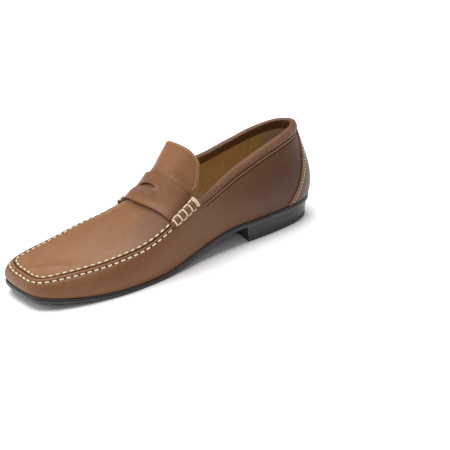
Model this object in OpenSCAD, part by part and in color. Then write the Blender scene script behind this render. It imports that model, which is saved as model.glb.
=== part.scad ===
// Penny loafer for the left foot, with every layer of its sole and upper as a separate piece.
// Millimetres. +X runs from heel to toe, +Y to the outer side of the foot, +Z up.
// The origin is the centre of the heel's ground face.

/* [Sole and heel] */
// Length of the sole, from heel back to toe
shoe_len = 300; // [250:1:330]
// Width of the sole across the ball
ball_w = 96; // [80:1:112]
// Height of the heel block under the sole
heel_h = 16.6; // [12:0.2:28]
// Rise of the sole under the toe
toe_spring = 9; // [4:0.5:16]
// Thickness of the outsole
outsole_t = 3; // [2.5:0.1:6]
// Thickness of the welt strip around the sole edge
welt_t = 1.4; // [1:0.1:3]
// Thickness of the rubber top piece under the heel
top_lift_t = 5.2; // [3:0.2:8]
// Length of the heel block on the ground
heel_len = 84; // [62:1:92]
// Forward slant of the heel breast over its height
breast_slant = 3; // [0:0.5:12]

/* [Inside the sole] */
// Thickness of the insole board
insole_t = 2.2; // [1.5:0.1:4]
// Thickness of the foam pad under the heel
heel_pad_t = 2.5; // [1:0.1:5]
// Thickness of the sock liner
sock_t = 1; // [0.6:0.1:2]
// Width of the steel shank
shank_w = 14; // [8:0.5:18]
// Diameter of a heel nail
nail_d = 1.8; // [1.2:0.1:2.6]

/* [Upper] */
// Height of the heel back above the welt
upper_h = 66; // [54:0.5:76]
// Thickness of the upper leather
leather_t = 1.5; // [1:0.1:2.2]
// Thickness of the lining leather
lining_t = 0.8; // [0.5:0.1:1.4]
// Thickness of the heel counter and the toe puff
stiffener_t = 1.1; // [0.6:0.1:1.8]
// Width of the leather lasted under the insole
lasting_w = 8; // [5:0.5:10]
// Outside height of the rolled topline binding
binding_out = 6.5; // [4:0.5:9]
// Inside height of the rolled topline binding
binding_in = 10; // [8:0.5:14]
// Thickness of the binding leather
binding_t = 1; // [0.7:0.1:1.5]

/* [Strap, tongue and stitching] */
// Thickness of the folded saddle strap
strap_t = 1.8; // [1.2:0.1:2.6]
// Length of the slit in the strap
slit_len = 38; // [24:1:44]
// Width of the slit in the strap
slit_w = 2.2; // [1.4:0.2:4]
// Height of the tongue above the strap
tongue_h = 29; // [16:1:34]
// Radius of a beefroll at its back end
roll_r = 4.8; // [3.5:0.1:6]
// Number of thread wraps on a beefroll
roll_wraps = 5; // [3:1:7]
// Diameter of the decorative thread
thread_d = 1; // [0.6:0.1:1.6]
// Pitch of the apron stitches
stitch_pitch = 6; // [5:0.5:12]
// Gap left for the cement between glued pieces
cement = 0.1; // [0.05:0.05:0.3]

/* [Hidden] */

brown = [0.59, 0.41, 0.29];
dark_brown = [0.47, 0.31, 0.20];
cream = [0.93, 0.87, 0.72];
tan_lining = [0.74, 0.60, 0.36];
suede = [0.67, 0.56, 0.44];
edge_black = [0.07, 0.07, 0.07];

up = [0, 0, 1];
scale_x = shoe_len / 300;
scale_y = ball_w / 96;
scale_h = upper_h / 66;
feather_in = 1.4;    // the upper meets the welt this far inside the sole edge
upper_lift = outsole_t + welt_t;
heel_back_in = 2.5;  // the heel block stands this far inside the sole edge
heel_mid = heel_back_in + heel_len / 2;
lift_count = 3;
lift_t = (heel_h - top_lift_t) / lift_count;
lift_step = 0.5;     // each lift is this much smaller than the one above it
board_low = upper_lift + 3 * cement + leather_t;  // the insole's underside over the outsole's
nail_top = heel_h + board_low + insole_t;
head_t = 0.8;        // thickness of a nail's head
tall = 100;          // higher than any layer of the sole

// Sole edge seen from above, heel back first, then the outer side, the toe and the inner side.
SOLE_EDGE = [[0, 0], [6, 19], [26, 31], [58, 34.5], [90, 34.5], [118, 34], [146, 35.5],
    [172, 38.5], [198, 40.5], [224, 40], [250, 35.5], [273, 28], [290, 19], [298, 9], [300, -9],
    [299.5, -27], [295, -39.5], [277, -47.5], [251, -52], [225, -55], [199, -55.5], [172, -49.5],
    [147, -39.5], [118, -32], [90, -30.5], [58, -32], [26, -29.5], [6, -18]];
// Upper edge of the wall, point by point above SOLE_EDGE: the topline at the back and the apron
// seam at the front. Each row: x, y, height above the welt, swell low, swell high, lean of the edge.
WALL_TOP = [[7, 0, 66, 8, 6, 0], [17, 12, 65, 8, 6, 0], [38, 21.5, 64, 7, 6, 0],
    [64, 26, 60, 7, 6, 2], [91, 27.5, 53, 8, 6, 4], [119, 31.5, 47.3, 7, 5, 8],
    [146, 37, 46, 6, 4, 18], [174, 38, 40.5, 5, 5, 36], [200, 34.5, 30.5, 5, 7, 50],
    [226, 29.5, 25.5, 5, 8, 58], [250, 23.5, 21.8, 5, 9, 62], [271, 17.5, 18.6, 5, 8, 65],
    [286.5, 12, 16.2, 4, 7, 66], [291.5, 4, 15.2, 3, 6, 66], [292, -9, 15.3, 3, 6, 66],
    [291.5, -24, 16, 3, 6, 66], [286, -33.5, 17.8, 4, 7, 66], [269, -38.5, 21.5, 5, 8, 65],
    [247, -42.5, 24.8, 5, 9, 62], [224, -45.5, 28, 5, 8, 58], [199, -46.5, 31, 5, 7, 50],
    [174, -44, 35, 6, 5, 36], [149, -35, 39.5, 10, 4, 18], [119, -31.5, 44.5, 12, 4, 8],
    [91, -28.5, 48, 11, 5, 4], [64, -26.5, 53.8, 9, 6, 2], [38, -23, 60, 7, 6, 0],
    [16.5, -14, 65, 8, 6, 0]];
// Ridge of the apron from the back of the strap to the toe seam: x, y, height above the welt.
RIDGE = [[160, 2, 70.5], [177, 0, 50], [202, -4, 37.5], [228, -6.5, 31], [251, -8, 26],
    [272, -8.7, 21], [292, -9, 15.3]];

turns = len(SOLE_EDGE);      // one full turn round the shoe in control points
roll_back = 6;               // control point at the back end of the beefroll
roll_front = 7;              // control point at its front end
corner = 12;                 // control point where the apron's side becomes its toe
toe = 14;                    // control point at the middle of the toe
fine = 3;                    // grid steps between two control points

// ---------- curves ----------
function cubic(a, b, c, d, t) = 0.5 * (2 * b + (c - a) * t + (2 * a - 5 * b + 4 * c - d) * t * t
    + (3 * b - a - 3 * c + d) * t * t * t);
function ring_at(p, u) = let(n = len(p), i = floor(u), t = u - i)
    cubic(p[(i + 2 * n - 1) % n], p[(i + 2 * n) % n], p[(i + 2 * n + 1) % n], p[(i + 2 * n + 2) % n], t);
function line_at(p, u) = let(n = len(p) - 1, i = min(floor(u), n - 1), t = u - i)
    cubic(i > 0 ? p[i - 1] : 2 * p[0] - p[1], p[i], p[i + 1],
        i + 2 > n ? 2 * p[n] - p[n - 1] : p[i + 2], t);
function unit(v) = v / norm(v);
function smooth(t) = let(c = max(0, min(1, t))) c * c * (3 - 2 * c);
function mix(a, b, t) = a * (1 - t) + b * t;
function shrink(p) = [p[0] * scale_x - heel_mid, p[1] * scale_y];

// ---------- sole profile ----------
// Underside of the outsole: flat over the heel, down through the waist, flat at the ball, up at
// the toe. It is a row of straight steps, so that the layers above lie on it without a gap.
heel_seat = max(94, (heel_back_in + heel_len + breast_slant + 2) / scale_x);
function sole_curve(x) = heel_h * (1 - smooth((x - heel_seat) / 100))
    + toe_spring * pow(max(0, x - 215) / 85, 2);
STATIONS = [for (i = [0:40]) let(x = i * 7.5) [x * scale_x - heel_mid, sole_curve(x)]];
function sole_z(x) = lookup(x, STATIONS);
function welt_z(x) = sole_z(x) + upper_lift;

function edge_at(u) = shrink(ring_at(SOLE_EDGE, u));
function plan_out(u) = let(d = edge_at(u + 0.05) - edge_at(u - 0.05)) unit([-d.y, d.x]);
function inset_at(u, d) = edge_at(u) - d * plan_out(u);
// A point on the way from the feather edge towards the middle of the shoe, safe in tight corners.
function inward_at(u, d) = let(a = edge_at(u), b = edge_at(turns - u),
    m = [max(30 * scale_x - heel_mid, min(262 * scale_x - heel_mid, (a.x + b.x) / 2)), (a.y + b.y) / 2])
    a + d * unit(m - a);

// ---------- wall of the upper ----------
function top_row(u) = ring_at(WALL_TOP, u);
function over_welt(r) = let(p = shrink([r[0], r[1]])) [p.x, p.y, welt_z(p.x) + r[2] * scale_h];
function top_at(u) = over_welt(top_row(u));
function foot_at(u) = let(p = inset_at(u, feather_in)) [p.x, p.y, welt_z(p.x) + cement];
function out3(u) = let(o = plan_out(u)) [o.x, o.y, 0];
function top_lean(u) = let(a = top_row(u)[5]) cos(a) * out3(u) + sin(a) * up;
function lean(u, t) = unit(mix(out3(u), top_lean(u), t * t));
function wall_at(u, t, off = 0) = let(r = top_row(u), a = foot_at(u), d = top_at(u), h = d.z - a.z,
    b = a + out3(u) * r[3] + up * 0.36 * h, c = d + out3(u) * r[4] - up * 0.3 * h * (1 - r[5] / 85),
    s = 1 - t)
    s * s * s * a + 3 * s * s * t * b + 3 * s * t * t * c + t * t * t * d + lean(u, t) * off;
function drop_t(u, d) = 1 - d / (1.04 * norm(top_at(u) - foot_at(u)));
function rows_at(u) = let(low = drop_t(u, binding_in))
    concat([for (k = [0:4]) low * k / 5], [low, drop_t(u, binding_out), 1]);
turned = 0;  // number of the row at the feather edge
top_row_no = 7;

// Thickness of the stiffeners between wall and lining, skived to nothing at their edges.
counter_reach = 4;
counter_rows = 4;
puff_reach = 3;
puff_rows = 6;
skived = 0.15;
function ring_gap(u, c) = let(d = abs((u + 2 * turns) % turns - c)) min(d, turns - d);
function skive(gap, reach, row, last) = gap > reach + 0.01 || row > last ? 0
    : skived + (stiffener_t - skived) * smooth((reach - gap) / 1.2) * smooth((last - row) / 2);
function counter_t(u, row) = skive(ring_gap(u, 0), counter_reach, row, counter_rows);
function puff_t(u, row) = skive(ring_gap(u, toe), puff_reach, row, puff_rows);
function stiff_t(u, row) = counter_t(u, row) + puff_t(u, row);

function layer_row(u, depth) = let(rows = rows_at(u)) [for (k = [0:top_row_no])
    k == turned ? foot_at(u) - out3(u) * depth[k] + up * leather_t : wall_at(u, rows[k], -depth[k])];
function layer(us, depths) = [for (u = us) layer_row(u, depths(u))];
function steps(a, b) = [for (i = [a * fine:b * fine]) i / fine];

// ---------- apron and strap ----------
patch_len = corner - roll_back;
function side_at(v, s) = s > 0 ? roll_back + v * patch_len : turns - roll_back - v * patch_len;
function ridge_at(v) = over_welt(line_at(RIDGE, v * (len(RIDGE) - 1)));
function ridge_up(v) = let(a = ridge_at(max(0, v - 0.03)), b = ridge_at(min(1, v + 0.03)))
    unit([a.z - b.z, 0, b.x - a.x]);
function arch(q, full) = (1 - q * q) * (1 + full * q * q);
function section_at(v, q) = let(l = top_at(side_at(v, 1)), m = top_at(side_at(v, -1)),
    chord = mix(m, l, (1 + q) / 2)) chord + (ridge_at(v) - (l + m) / 2) * arch(q, mix(0.45, 0.1, v));
function toe_at(q) = corner + (1 - q) * (toe - corner);
function apron_up(v, q) = let(side = top_lean(side_at(v, sign(q))), a = abs(q),
    across = mix(ridge_up(v), side, a), ahead = top_lean(toe_at(q))) unit(mix(across, ahead, pow(v, 6)));
function apron_at(v, q, off = 0) = section_at(v, q)
    + (top_at(toe_at(q)) - section_at(1, q)) * pow(v, 4) + apron_up(v, q) * off;
apron_vs = [for (i = [0:patch_len * fine]) i / (patch_len * fine)];
apron_qs = [for (i = [0:12]) 1 - i / 6];
function apron_grid(off) = [for (v = apron_vs) [for (q = apron_qs) apron_at(v, q, off)]];

strap_v = 1 / patch_len;     // front edge of the strap, in apron parameters
strap_gap = 0.35;
ridge_len = 155 * scale_x;   // length of the apron along its ridge
strap_q = 0.87;              // the strap ends here, against the beefrolls
slit_row = 2;                // row of strap cells that the slit takes
slit_shift = 3;              // the slit lies this many columns towards the inner side
function strap_pull(q) = let(t = min(1, max(0, (-q - 0.2) / 0.4))) 0.008 * t * t * (3 - 2 * t);
function strap_v_at(row, q) = let(bow = 0.01 * (1 - q * q) - strap_pull(q),
    mid = 0.4 * strap_v + 0.1 * pow(min(0.6, abs(q + 0.05)), 2), half = slit_w / 2 / ridge_len)
    [0, mid / 2, mid - half, mid + half, (mid + strap_v) / 2, strap_v + bow][row];
strap_cols = 20;
function strap_q_at(i) = strap_q * (1 - 2 * i / strap_cols);
function strap_grid(off) = [for (row = [0:5]) [for (i = [0:strap_cols]) let(q = strap_q_at(i))
    apron_at(strap_v_at(row, q), q, off)]];
strap_arc = 1.25 * norm(top_at(roll_back) - top_at(turns - roll_back));
slit_half_cols = max(1, round(slit_len / 2 / (strap_arc * strap_q / strap_cols)));

// ---------- tongue ----------
tongue_gap = 1.5;            // clear of the strap over the tongue's whole travel
tongue_base_half = 31;
tongue_tip_half = 24;
hinge = ridge_at(0);         // the tongue folds about a line across the shoe through this point
tongue_dir = unit([-0.62, 0.13, 0.8]);
tongue_start = hinge + tongue_dir * tongue_gap;
function tongue_base(q) = let(f = 1 - arch(q, 0.3))
    tongue_start + [-14 * f, tongue_base_half * scale_y * q, -17 * scale_h * f];
function tongue_tip(q) = tongue_start + tongue_dir * tongue_h
    + [-3 * q * q - 2 * pow(q, 6), tongue_tip_half * scale_y * q + 1, -4 * q * q - 8 * pow(q, 6)];
function tongue_up(q) = unit([0.8, 0.75 * q - 0.1, 0.6]);
function tongue_at(s, q, off = 0) = mix(tongue_base(q), tongue_tip(q), s)
    + [-2.2, 3 * q, 1] * 4 * s * (1 - s) * 0.5 + tongue_up(q) * off;
function tongue_grid(off, s0 = 0, s1 = 1, qmax = 1) = [for (i = [0:8]) [for (j = [0:12])
    tongue_at(mix(s1, s0, i / 8), qmax * (1 - j / 6), off)]];

// ---------- solid builders ----------
// Closed solid between two grids of the same shape. wrap joins the last row to the first, and
// cells that open_cell() names are left out as a hole.
module plate(outer, inner, wrap = false, open_cell = function(i, j) false) {
    n = len(outer);
    m = len(outer[0]);
    ni = wrap ? n : n - 1;
    at = function(side, i, j) side * n * m + (i % n) * m + j;
    solid = function(i, j) (wrap || (i >= 0 && i < ni)) && j >= 0 && j < m - 1 && !open_cell(i, j);
    quad = function(a, b, c, d) [[a, b, c], [a, c, d]];
    faces = [for (i = [0:ni - 1]) for (j = [0:m - 2]) if (solid(i, j)) each concat(
        quad(at(0, i, j), at(0, i + 1, j), at(0, i + 1, j + 1), at(0, i, j + 1)),
        quad(at(1, i, j), at(1, i, j + 1), at(1, i + 1, j + 1), at(1, i + 1, j)),
        solid(i, j - 1) ? [] : quad(at(0, i, j), at(1, i, j), at(1, i + 1, j), at(0, i + 1, j)),
        solid(i, j + 1) ? [] :
            quad(at(0, i + 1, j + 1), at(1, i + 1, j + 1), at(1, i, j + 1), at(0, i, j + 1)),
        solid(i - 1, j) ? [] : quad(at(0, i, j + 1), at(1, i, j + 1), at(1, i, j), at(0, i, j)),
        solid(i + 1, j) ? [] :
            quad(at(0, i + 1, j), at(1, i + 1, j), at(1, i + 1, j + 1), at(0, i + 1, j + 1)))];
    polyhedron(points = concat([for (r = outer) each r], [for (r = inner) each r]), faces = faces);
}

// Closed solid through a row of loops, with flat ends.
module loft(loops) {
    n = len(loops);
    m = len(loops[0]);
    at = function(i, j) i * m + j % m;
    sides = [for (i = [0:n - 2]) for (j = [0:m - 1]) each [[at(i, j), at(i + 1, j), at(i + 1, j + 1)],
        [at(i, j), at(i + 1, j + 1), at(i, j + 1)]]];
    polyhedron(points = [for (l = loops) each l], faces = concat(sides,
        [[for (j = [0:m - 1]) j]], [[for (j = [0:m - 1]) at(n - 1, m - 1 - j)]]));
}

// A layer of the sole: an outline seen from above, kept between two heights over the sole's profile.
module sole_layer(outline, low, high, x0 = 0, x1 = 300) {
    a = x0 * scale_x - heel_mid;
    b = x1 * scale_x - heel_mid;
    xs = concat([a], [for (s = STATIONS) if (s[0] > a + 0.01 && s[0] < b - 0.01) s[0]], [b]);
    n = len(xs) - 1;
    under = [for (x = xs) [x, sole_z(x) + low(x)]];
    over = [for (i = [n:-1:0]) [xs[i], sole_z(xs[i]) + high(xs[i])]];
    intersection() {
        linear_extrude(tall) polygon(outline);
        rotate([90, 0, 0]) translate([0, 0, -ball_w]) linear_extrude(2 * ball_w)
            polygon(concat(under, over));
    }
}
function outline(d) = [for (u = steps(0, turns - 1 / fine)) inset_at(u, d)];
function inner_outline(d) = [for (u = steps(0, turns - 1 / fine)) inward_at(u, d)];
function flat(z) = function(x) z;

module place(p, x, z) {
    y = cross(z, x);
    multmatrix([[x.x, y.x, z.x, p.x], [x.y, y.y, z.y, p.y], [x.z, y.z, z.z, p.z], [0, 0, 0, 1]]) children();
}

// One stitch lying on a surface along the line from a to b.
module stitch(a, b, d) {
    along = unit(b - a);
    side = unit(cross(up, along));
    place((a + b) / 2, along, cross(along, side)) rotate([0, 90, 0])
        cylinder(h = norm(b - a), d = d, center = true, $fn = 24);
}

// Stitches of a given length at a given pitch along a curve sampled in path.
function step_len(p, i) = i + 1 < len(p) ? norm(p[i + 1] - p[i]) : 0;
function path_len(p) = [for (i = 0, s = 0; i < len(p); s = s + step_len(p, i), i = i + 1) s];
function along_path(p, lens, s) = let(n = len(p) - 1,
    i = max([for (k = [0:n - 1]) if (lens[k] <= s + 0.001) k]))
    mix(p[i], p[i + 1], (s - lens[i]) / (lens[i + 1] - lens[i]));
module stitch_row(path, pitch, share, d) {
    lens = path_len(path);
    total = lens[len(path) - 1];
    count = floor(total / pitch);
    real = total / count;
    for (k = [0:count - 1]) stitch(along_path(path, lens, (k + 0.5 - share / 2) * real),
        along_path(path, lens, (k + 0.5 + share / 2) * real), d);
}

// ---------- heel and sole ----------
nail_spots = [[14, 0], [24, 14], [24, -13], [58, 17], [58, -15]];
function breast_x(z) = heel_len / 2 + z * breast_slant / heel_h;
module heel_slice(z0, t, d) {
    intersection() {
        translate([0, 0, z0]) linear_extrude(t) polygon(outline(heel_back_in + d));
        rotate([90, 0, 0]) translate([0, 0, -ball_w]) linear_extrude(2 * ball_w)
            polygon([[-2 * heel_len, -1], [breast_x(-1), -1], [breast_x(heel_h + 1), heel_h + 1],
                [-2 * heel_len, heel_h + 1]]);
    }
}
// The nails go up from the first lift into the insole.
module at_nails() {
    for (p = nail_spots) translate([p.x * scale_x - heel_mid, p.y * scale_y, 0]) children();
}
module nail_bores() at_nails() translate([0, 0, top_lift_t]) cylinder(h = tall, d = nail_d, $fn = 24);
module heel_lift(i) {
    difference() {
        heel_slice(top_lift_t + (i - 1) * lift_t, lift_t, (lift_count - i) * lift_step);
        nail_bores();
    }
}
module top_lift() color(edge_black) heel_slice(0, top_lift_t, lift_count * lift_step);
module heel_lift_1() color(edge_black) heel_lift(1);
module heel_lift_2() color(edge_black) heel_lift(2);
module heel_lift_3() color(edge_black) heel_lift(3);
module nail_heads(h) at_nails() translate([0, 0, nail_top - head_t])
    cylinder(h = h, d = 2.2 * nail_d, $fn = 24);
module heel_nails() color("silver") {
    at_nails() translate([0, 0, top_lift_t]) cylinder(h = nail_top - top_lift_t, d = nail_d, $fn = 24);
    nail_heads(head_t);
}
module outsole() color(edge_black) difference() {
    sole_layer(outline(0), flat(0), flat(outsole_t));
    nail_bores();
}
module welt() color(edge_black) difference() {
    sole_layer(outline(0.4), flat(outsole_t), flat(upper_lift));
    translate([0, 0, -1]) linear_extrude(tall) polygon(inner_outline(feather_in + lasting_w + 3));
    nail_bores();
}
shank_back = 50;
shank_front = 158;
function filler_high(x) = x > (shank_front + 2) * scale_x - heel_mid ? board_low : upper_lift;
module cork_filler() color("peru") difference() {
    union() {
        sole_layer(inner_outline(feather_in + lasting_w + 3.2), flat(outsole_t), flat(upper_lift), 12, 285);
        sole_layer(inner_outline(feather_in + lasting_w + 3.2), flat(upper_lift), flat(board_low),
            shank_front + 2, 284);
    }
    nail_bores();
}
module shank() color("silver") {
    half = shank_w / 2;
    a = shank_back * scale_x - heel_mid;
    b = shank_front * scale_x - heel_mid;
    sole_layer([[a, -half], [b, -half * 1.3], [b, half * 0.9], [a, half]], flat(upper_lift + cement),
        flat(board_low), shank_back, shank_front);
}
function board_edge(gap) = [for (u = steps(0, turns - 1 / fine))
    inset_at(u, feather_in + leather_t + lining_t + stiff_t(u, 0) + gap)];
module insole() color("tan") difference() {
    sole_layer(board_edge(0.2), flat(board_low), flat(board_low + insole_t));
    nail_bores();
    nail_heads(tall);
}
pad_end = 88;
function pad_high(x) = heel_pad_t * (1 - smooth((x - (60 * scale_x - heel_mid)) / (30 * scale_x)));
module heel_pad() color("khaki") sole_layer(board_edge(1), flat(board_low + insole_t),
    function(x) board_low + insole_t + pad_high(x), 8, pad_end);
module sock_liner() color(tan_lining) sole_layer(board_edge(1.1), function(x) board_low + insole_t
    + pad_high(x), function(x) board_low + insole_t + pad_high(x) + sock_t, 6.5, 290);
module sole_stitching() color(cream) {
    path = [for (u = steps(5, turns - 5)) inset_at(u, 7)];
    lens = path_len(path);
    count = floor(lens[len(path) - 1] / 8);
    for (k = [0:count]) {
        p = along_path(path, lens, k * lens[len(path) - 1] / count * 0.9999);
        translate([p.x, p.y, sole_z(p.x) + 1]) cylinder(h = board_low + insole_t - 1.2, d = 0.9, $fn = 16);
    }
}

// ---------- upper ----------
wall_us = steps(0, turns - 1 / fine);
function margin_at(u, z) = let(p = inward_at(u, feather_in + lasting_w))
    [p.x, p.y, welt_z(p.x) + cement + z];
module vamp_wall() color(brown) {
    outer = [for (u = wall_us) concat([margin_at(u, 0)], [for (t = rows_at(u)) wall_at(u, t)])];
    inner = [for (u = wall_us) concat([margin_at(u, leather_t)],
        layer_row(u, [for (k = [0:top_row_no]) leather_t]))];
    plate(outer, inner, wrap = true);
}
wall_depth = function(u) [for (k = [0:top_row_no]) leather_t];
stiff_depth = function(u) [for (k = [0:top_row_no]) leather_t + stiff_t(u, k)];
lining_depth = function(u) [for (k = [0:top_row_no]) leather_t + lining_t + stiff_t(u, k)];
function first_rows(g, n) = [for (r = g) [for (k = [0:n]) r[k]]];
module lining_piece(a, b) plate(layer(steps(a, b), stiff_depth), layer(steps(a, b), lining_depth));
module stiffener(a, b, rows) plate(first_rows(layer(steps(a, b), wall_depth), rows),
    first_rows(layer(steps(a, b), stiff_depth), rows));

module toe_puff() color("gainsboro") stiffener(toe - puff_reach, toe + puff_reach, puff_rows);
module heel_counter() color("gainsboro") stiffener(turns - counter_reach, turns + counter_reach,
    counter_rows);
grip_end = 1 + 1 / fine;
module vamp_lining() color(tan_lining) lining_piece(roll_back, turns - roll_back);
module quarter_lining_lateral() color(tan_lining) lining_piece(grip_end, roll_back);
module quarter_lining_medial() color(tan_lining) lining_piece(turns - roll_back, turns - grip_end);
module heel_grip() color(suede) lining_piece(turns - grip_end, turns + grip_end);

module apron() color(brown) plate(apron_grid(0), apron_grid(-leather_t));
module apron_lining() color(tan_lining) plate(apron_grid(-leather_t), apron_grid(-leather_t - lining_t));

module topline_binding() color(dark_brown) {
    deep = leather_t + lining_t + cement;
    full = deep + binding_t;
    mid = (binding_t - full) / 2;
    loops = [for (u = steps(turns - roll_back, turns + roll_back)) let(rows = rows_at(u), low = rows[5],
        out = rows[6]) [wall_at(u, out, cement), wall_at(u, 1, cement) + up * cement,
        wall_at(u, 1, -deep) + up * cement, wall_at(u, out, -deep),
        wall_at(u, low, -deep), wall_at(u, low, -full), wall_at(u, out, -full),
        wall_at(u, 1, -full) + up * 0.3,
        wall_at(u, 1, mid - 0.7) + up * 1.6, wall_at(u, 1, mid + 0.9) + up * 1.6,
        wall_at(u, 1, binding_t + 0.3) + up * 0.3, wall_at(u, out, binding_t)]];
    loft([for (i = [len(loops) - 1:-1:0]) loops[i]]);
}
module topline_stitching() color(dark_brown) stitch_row([for (u = steps(turns - roll_back + 0.34,
    turns + roll_back - 0.34)) wall_at(u, drop_t(u, binding_out + 2.5), 0.1)], 4, 0.7, 0.5);

// The back stay covers the heel's back seam, narrow under the binding and wide at the sole.
function stay_half(k) = mix(2.5, 0.42, pow(k, 1.15));
stay_cols = 30;
stay_rows = 8;
function stay_point(i, k, off) = let(u = turns + (2 * i / stay_cols - 1) * stay_half(k),
    t = mix(0.01, drop_t(u, binding_out + 0.4), k)) wall_at(u, t, off);
function stay_grid(off) = [for (i = [0:stay_cols]) [for (k = [0:stay_rows])
    stay_point(i, k / stay_rows, off)]];
module back_stay() color(brown) plate(stay_grid(1.15), stay_grid(0.15));
module back_stay_stitching() color(cream) for (s = [-1, 1])
    stitch_row([for (k = [0:6]) let(u = turns + s * stay_half(k / 6) * 0.9)
        wall_at(u, mix(0.03, drop_t(u, binding_out + 0.8), k / 6), 1.15)], 5, 0.7, 0.7);

module saddle_strap() color(brown) plate(strap_grid(strap_gap + strap_t), strap_grid(strap_gap),
    open_cell = function(i, j) i == slit_row
        && abs(j + 0.5 - strap_cols / 2 - slit_shift) < slit_half_cols);

// Half-round roll of leather over the end of the strap, sewn round with thick thread.
roll_rise = 1.5;             // the back end stands this much higher and further in
function roll_radius(k) = mix(roll_r, 0.72 * roll_r, k);
function roll_u(side, k) = let(u = roll_back + 0.03 + k * 0.97) side > 0 ? u : turns - u;
function roll_base(side, k) = let(u = roll_u(side, k))
    top_at(u) + top_lean(u) * 0.25 + (up - out3(u)) * roll_rise * (1 - k);
function roll_along(side, k) = unit(top_at(roll_u(side, k + 0.02)) - top_at(roll_u(side, k - 0.02)));
function roll_loop(side, k, fade) = let(p = roll_base(side, k), n = top_lean(roll_u(side, k)),
    w = cross(roll_along(side, k), n), r = roll_radius(k) * fade)
    [for (a = [0:15:180]) p + w * r * cos(a) + n * r * sin(a)];
module beefroll(side) {
    ks = [0, 0.04, 0.12, 0.3, 0.5, 0.7, 0.88, 0.96, 1];
    fades = [0.72, 0.9, 1, 1, 1, 1, 1, 0.9, 0.72];
    loft([for (i = [8:-1:0]) roll_loop(side, ks[i], fades[i])]);
}
module roll_threads(side) for (i = [0:roll_wraps - 1]) {
    k = mix(0.13, 0.87, i / (roll_wraps - 1));
    n = top_lean(roll_u(side, k));
    w = cross(roll_along(side, k), n);
    place(roll_base(side, k), w, cross(w, n)) rotate_extrude(angle = 180, $fn = 48)
        translate([roll_radius(k) + 0.1, 0]) circle(d = 1.25 * thread_d, $fn = 16);
}
module beefroll_lateral() color(brown) beefroll(1);
module beefroll_medial() color(brown) beefroll(-1);
module beefroll_thread_lateral() color(cream) roll_threads(1);
module beefroll_thread_medial() color(cream) roll_threads(-1);

seam_us = [for (i = [0:60]) mix(roll_front + 0.15, turns - roll_front - 0.15, i / 60)];
// A point on the apron beside the seam, at a distance d from it.
function beside_seam(u, d) = let(side = u < toe ? 1 : -1, g = ring_gap(u, toe),
    v = min(1, (toe - g - roll_back) / patch_len),
    q = g < toe - corner ? side * g / (toe - corner) : side, back = d / 24 / patch_len,
    half = norm(top_at(u) - top_at(turns - u)) / 2)
    apron_at(min(v, 1 - back), sign(q) * min(abs(q), 1 - d / max(half, 19)), 0.3);
module seam_stitching_inner() color(cream) stitch_row([for (u = seam_us) beside_seam(u, 3)],
    stitch_pitch, 0.55, thread_d);
module seam_stitching_outer() color(cream) stitch_row([for (u = seam_us) wall_at(u, drop_t(u, 4.5), 0.2)],
    stitch_pitch, 0.78, thread_d);

module tongue() color(brown) plate(tongue_grid(0), tongue_grid(-leather_t));
module tongue_lining() color(tan_lining) plate(tongue_grid(-leather_t), tongue_grid(-leather_t - lining_t));
module tongue_stitching() color(dark_brown) stitch_row(concat(
    [for (i = [1:8]) tongue_at(i / 8 * 0.9, 0.94, 0.1)],
    [for (j = [1:11]) tongue_at(0.93, 0.94 * (1 - j / 6), 0.1)],
    [for (i = [8:-1:1]) tongue_at(i / 8 * 0.9, -0.94, 0.1)]), 3.5, 0.7, 0.5);

top_lift();
heel_lift_1();
heel_lift_2();
heel_lift_3();
heel_nails();
outsole();
welt();
sole_stitching();
cork_filler();
shank();
insole();
heel_pad();
sock_liner();
vamp_wall();
toe_puff();
heel_counter();
vamp_lining();
apron_lining();
quarter_lining_lateral();
quarter_lining_medial();
heel_grip();
apron();
topline_binding();
topline_stitching();
back_stay();
back_stay_stitching();
saddle_strap();
beefroll_lateral();
beefroll_medial();
beefroll_thread_lateral();
beefroll_thread_medial();
seam_stitching_inner();
seam_stitching_outer();
tongue();
tongue_lining();
tongue_stitching();
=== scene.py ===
"""A left penny loafer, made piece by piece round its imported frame.

Lengths are in metres. +X runs from heel to toe, +Y to the outer side of the foot, +Z up.
The pattern tables are in millimetres from the back of the sole, as a pattern maker writes them.
"""

import logging
import math
from dataclasses import dataclass, field
from enum import Enum
from typing import Callable, Iterable, Optional, Sequence

import bmesh
import bpy
from mathutils import Matrix, Vector, noise


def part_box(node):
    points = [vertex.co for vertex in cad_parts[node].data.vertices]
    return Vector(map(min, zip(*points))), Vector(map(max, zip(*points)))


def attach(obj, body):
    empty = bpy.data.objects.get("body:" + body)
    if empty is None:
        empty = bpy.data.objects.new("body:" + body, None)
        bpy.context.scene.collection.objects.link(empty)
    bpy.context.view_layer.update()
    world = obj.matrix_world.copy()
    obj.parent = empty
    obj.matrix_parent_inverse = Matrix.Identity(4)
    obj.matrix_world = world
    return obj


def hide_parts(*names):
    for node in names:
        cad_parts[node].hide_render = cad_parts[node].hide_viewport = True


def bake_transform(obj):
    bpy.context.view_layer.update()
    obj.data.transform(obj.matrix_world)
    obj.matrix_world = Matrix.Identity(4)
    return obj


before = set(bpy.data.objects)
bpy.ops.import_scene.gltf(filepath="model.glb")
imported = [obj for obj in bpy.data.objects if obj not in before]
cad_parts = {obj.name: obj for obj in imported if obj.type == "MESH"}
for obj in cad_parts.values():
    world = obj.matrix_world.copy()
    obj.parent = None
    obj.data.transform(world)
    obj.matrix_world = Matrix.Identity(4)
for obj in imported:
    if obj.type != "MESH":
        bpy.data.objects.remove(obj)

LOG = logging.getLogger("loafer")
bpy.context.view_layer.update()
MM = 0.001
UP = Vector((0.0, 0.0, 1.0))
Row = tuple[float, ...]
Colour = tuple[float, float, float]

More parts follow.
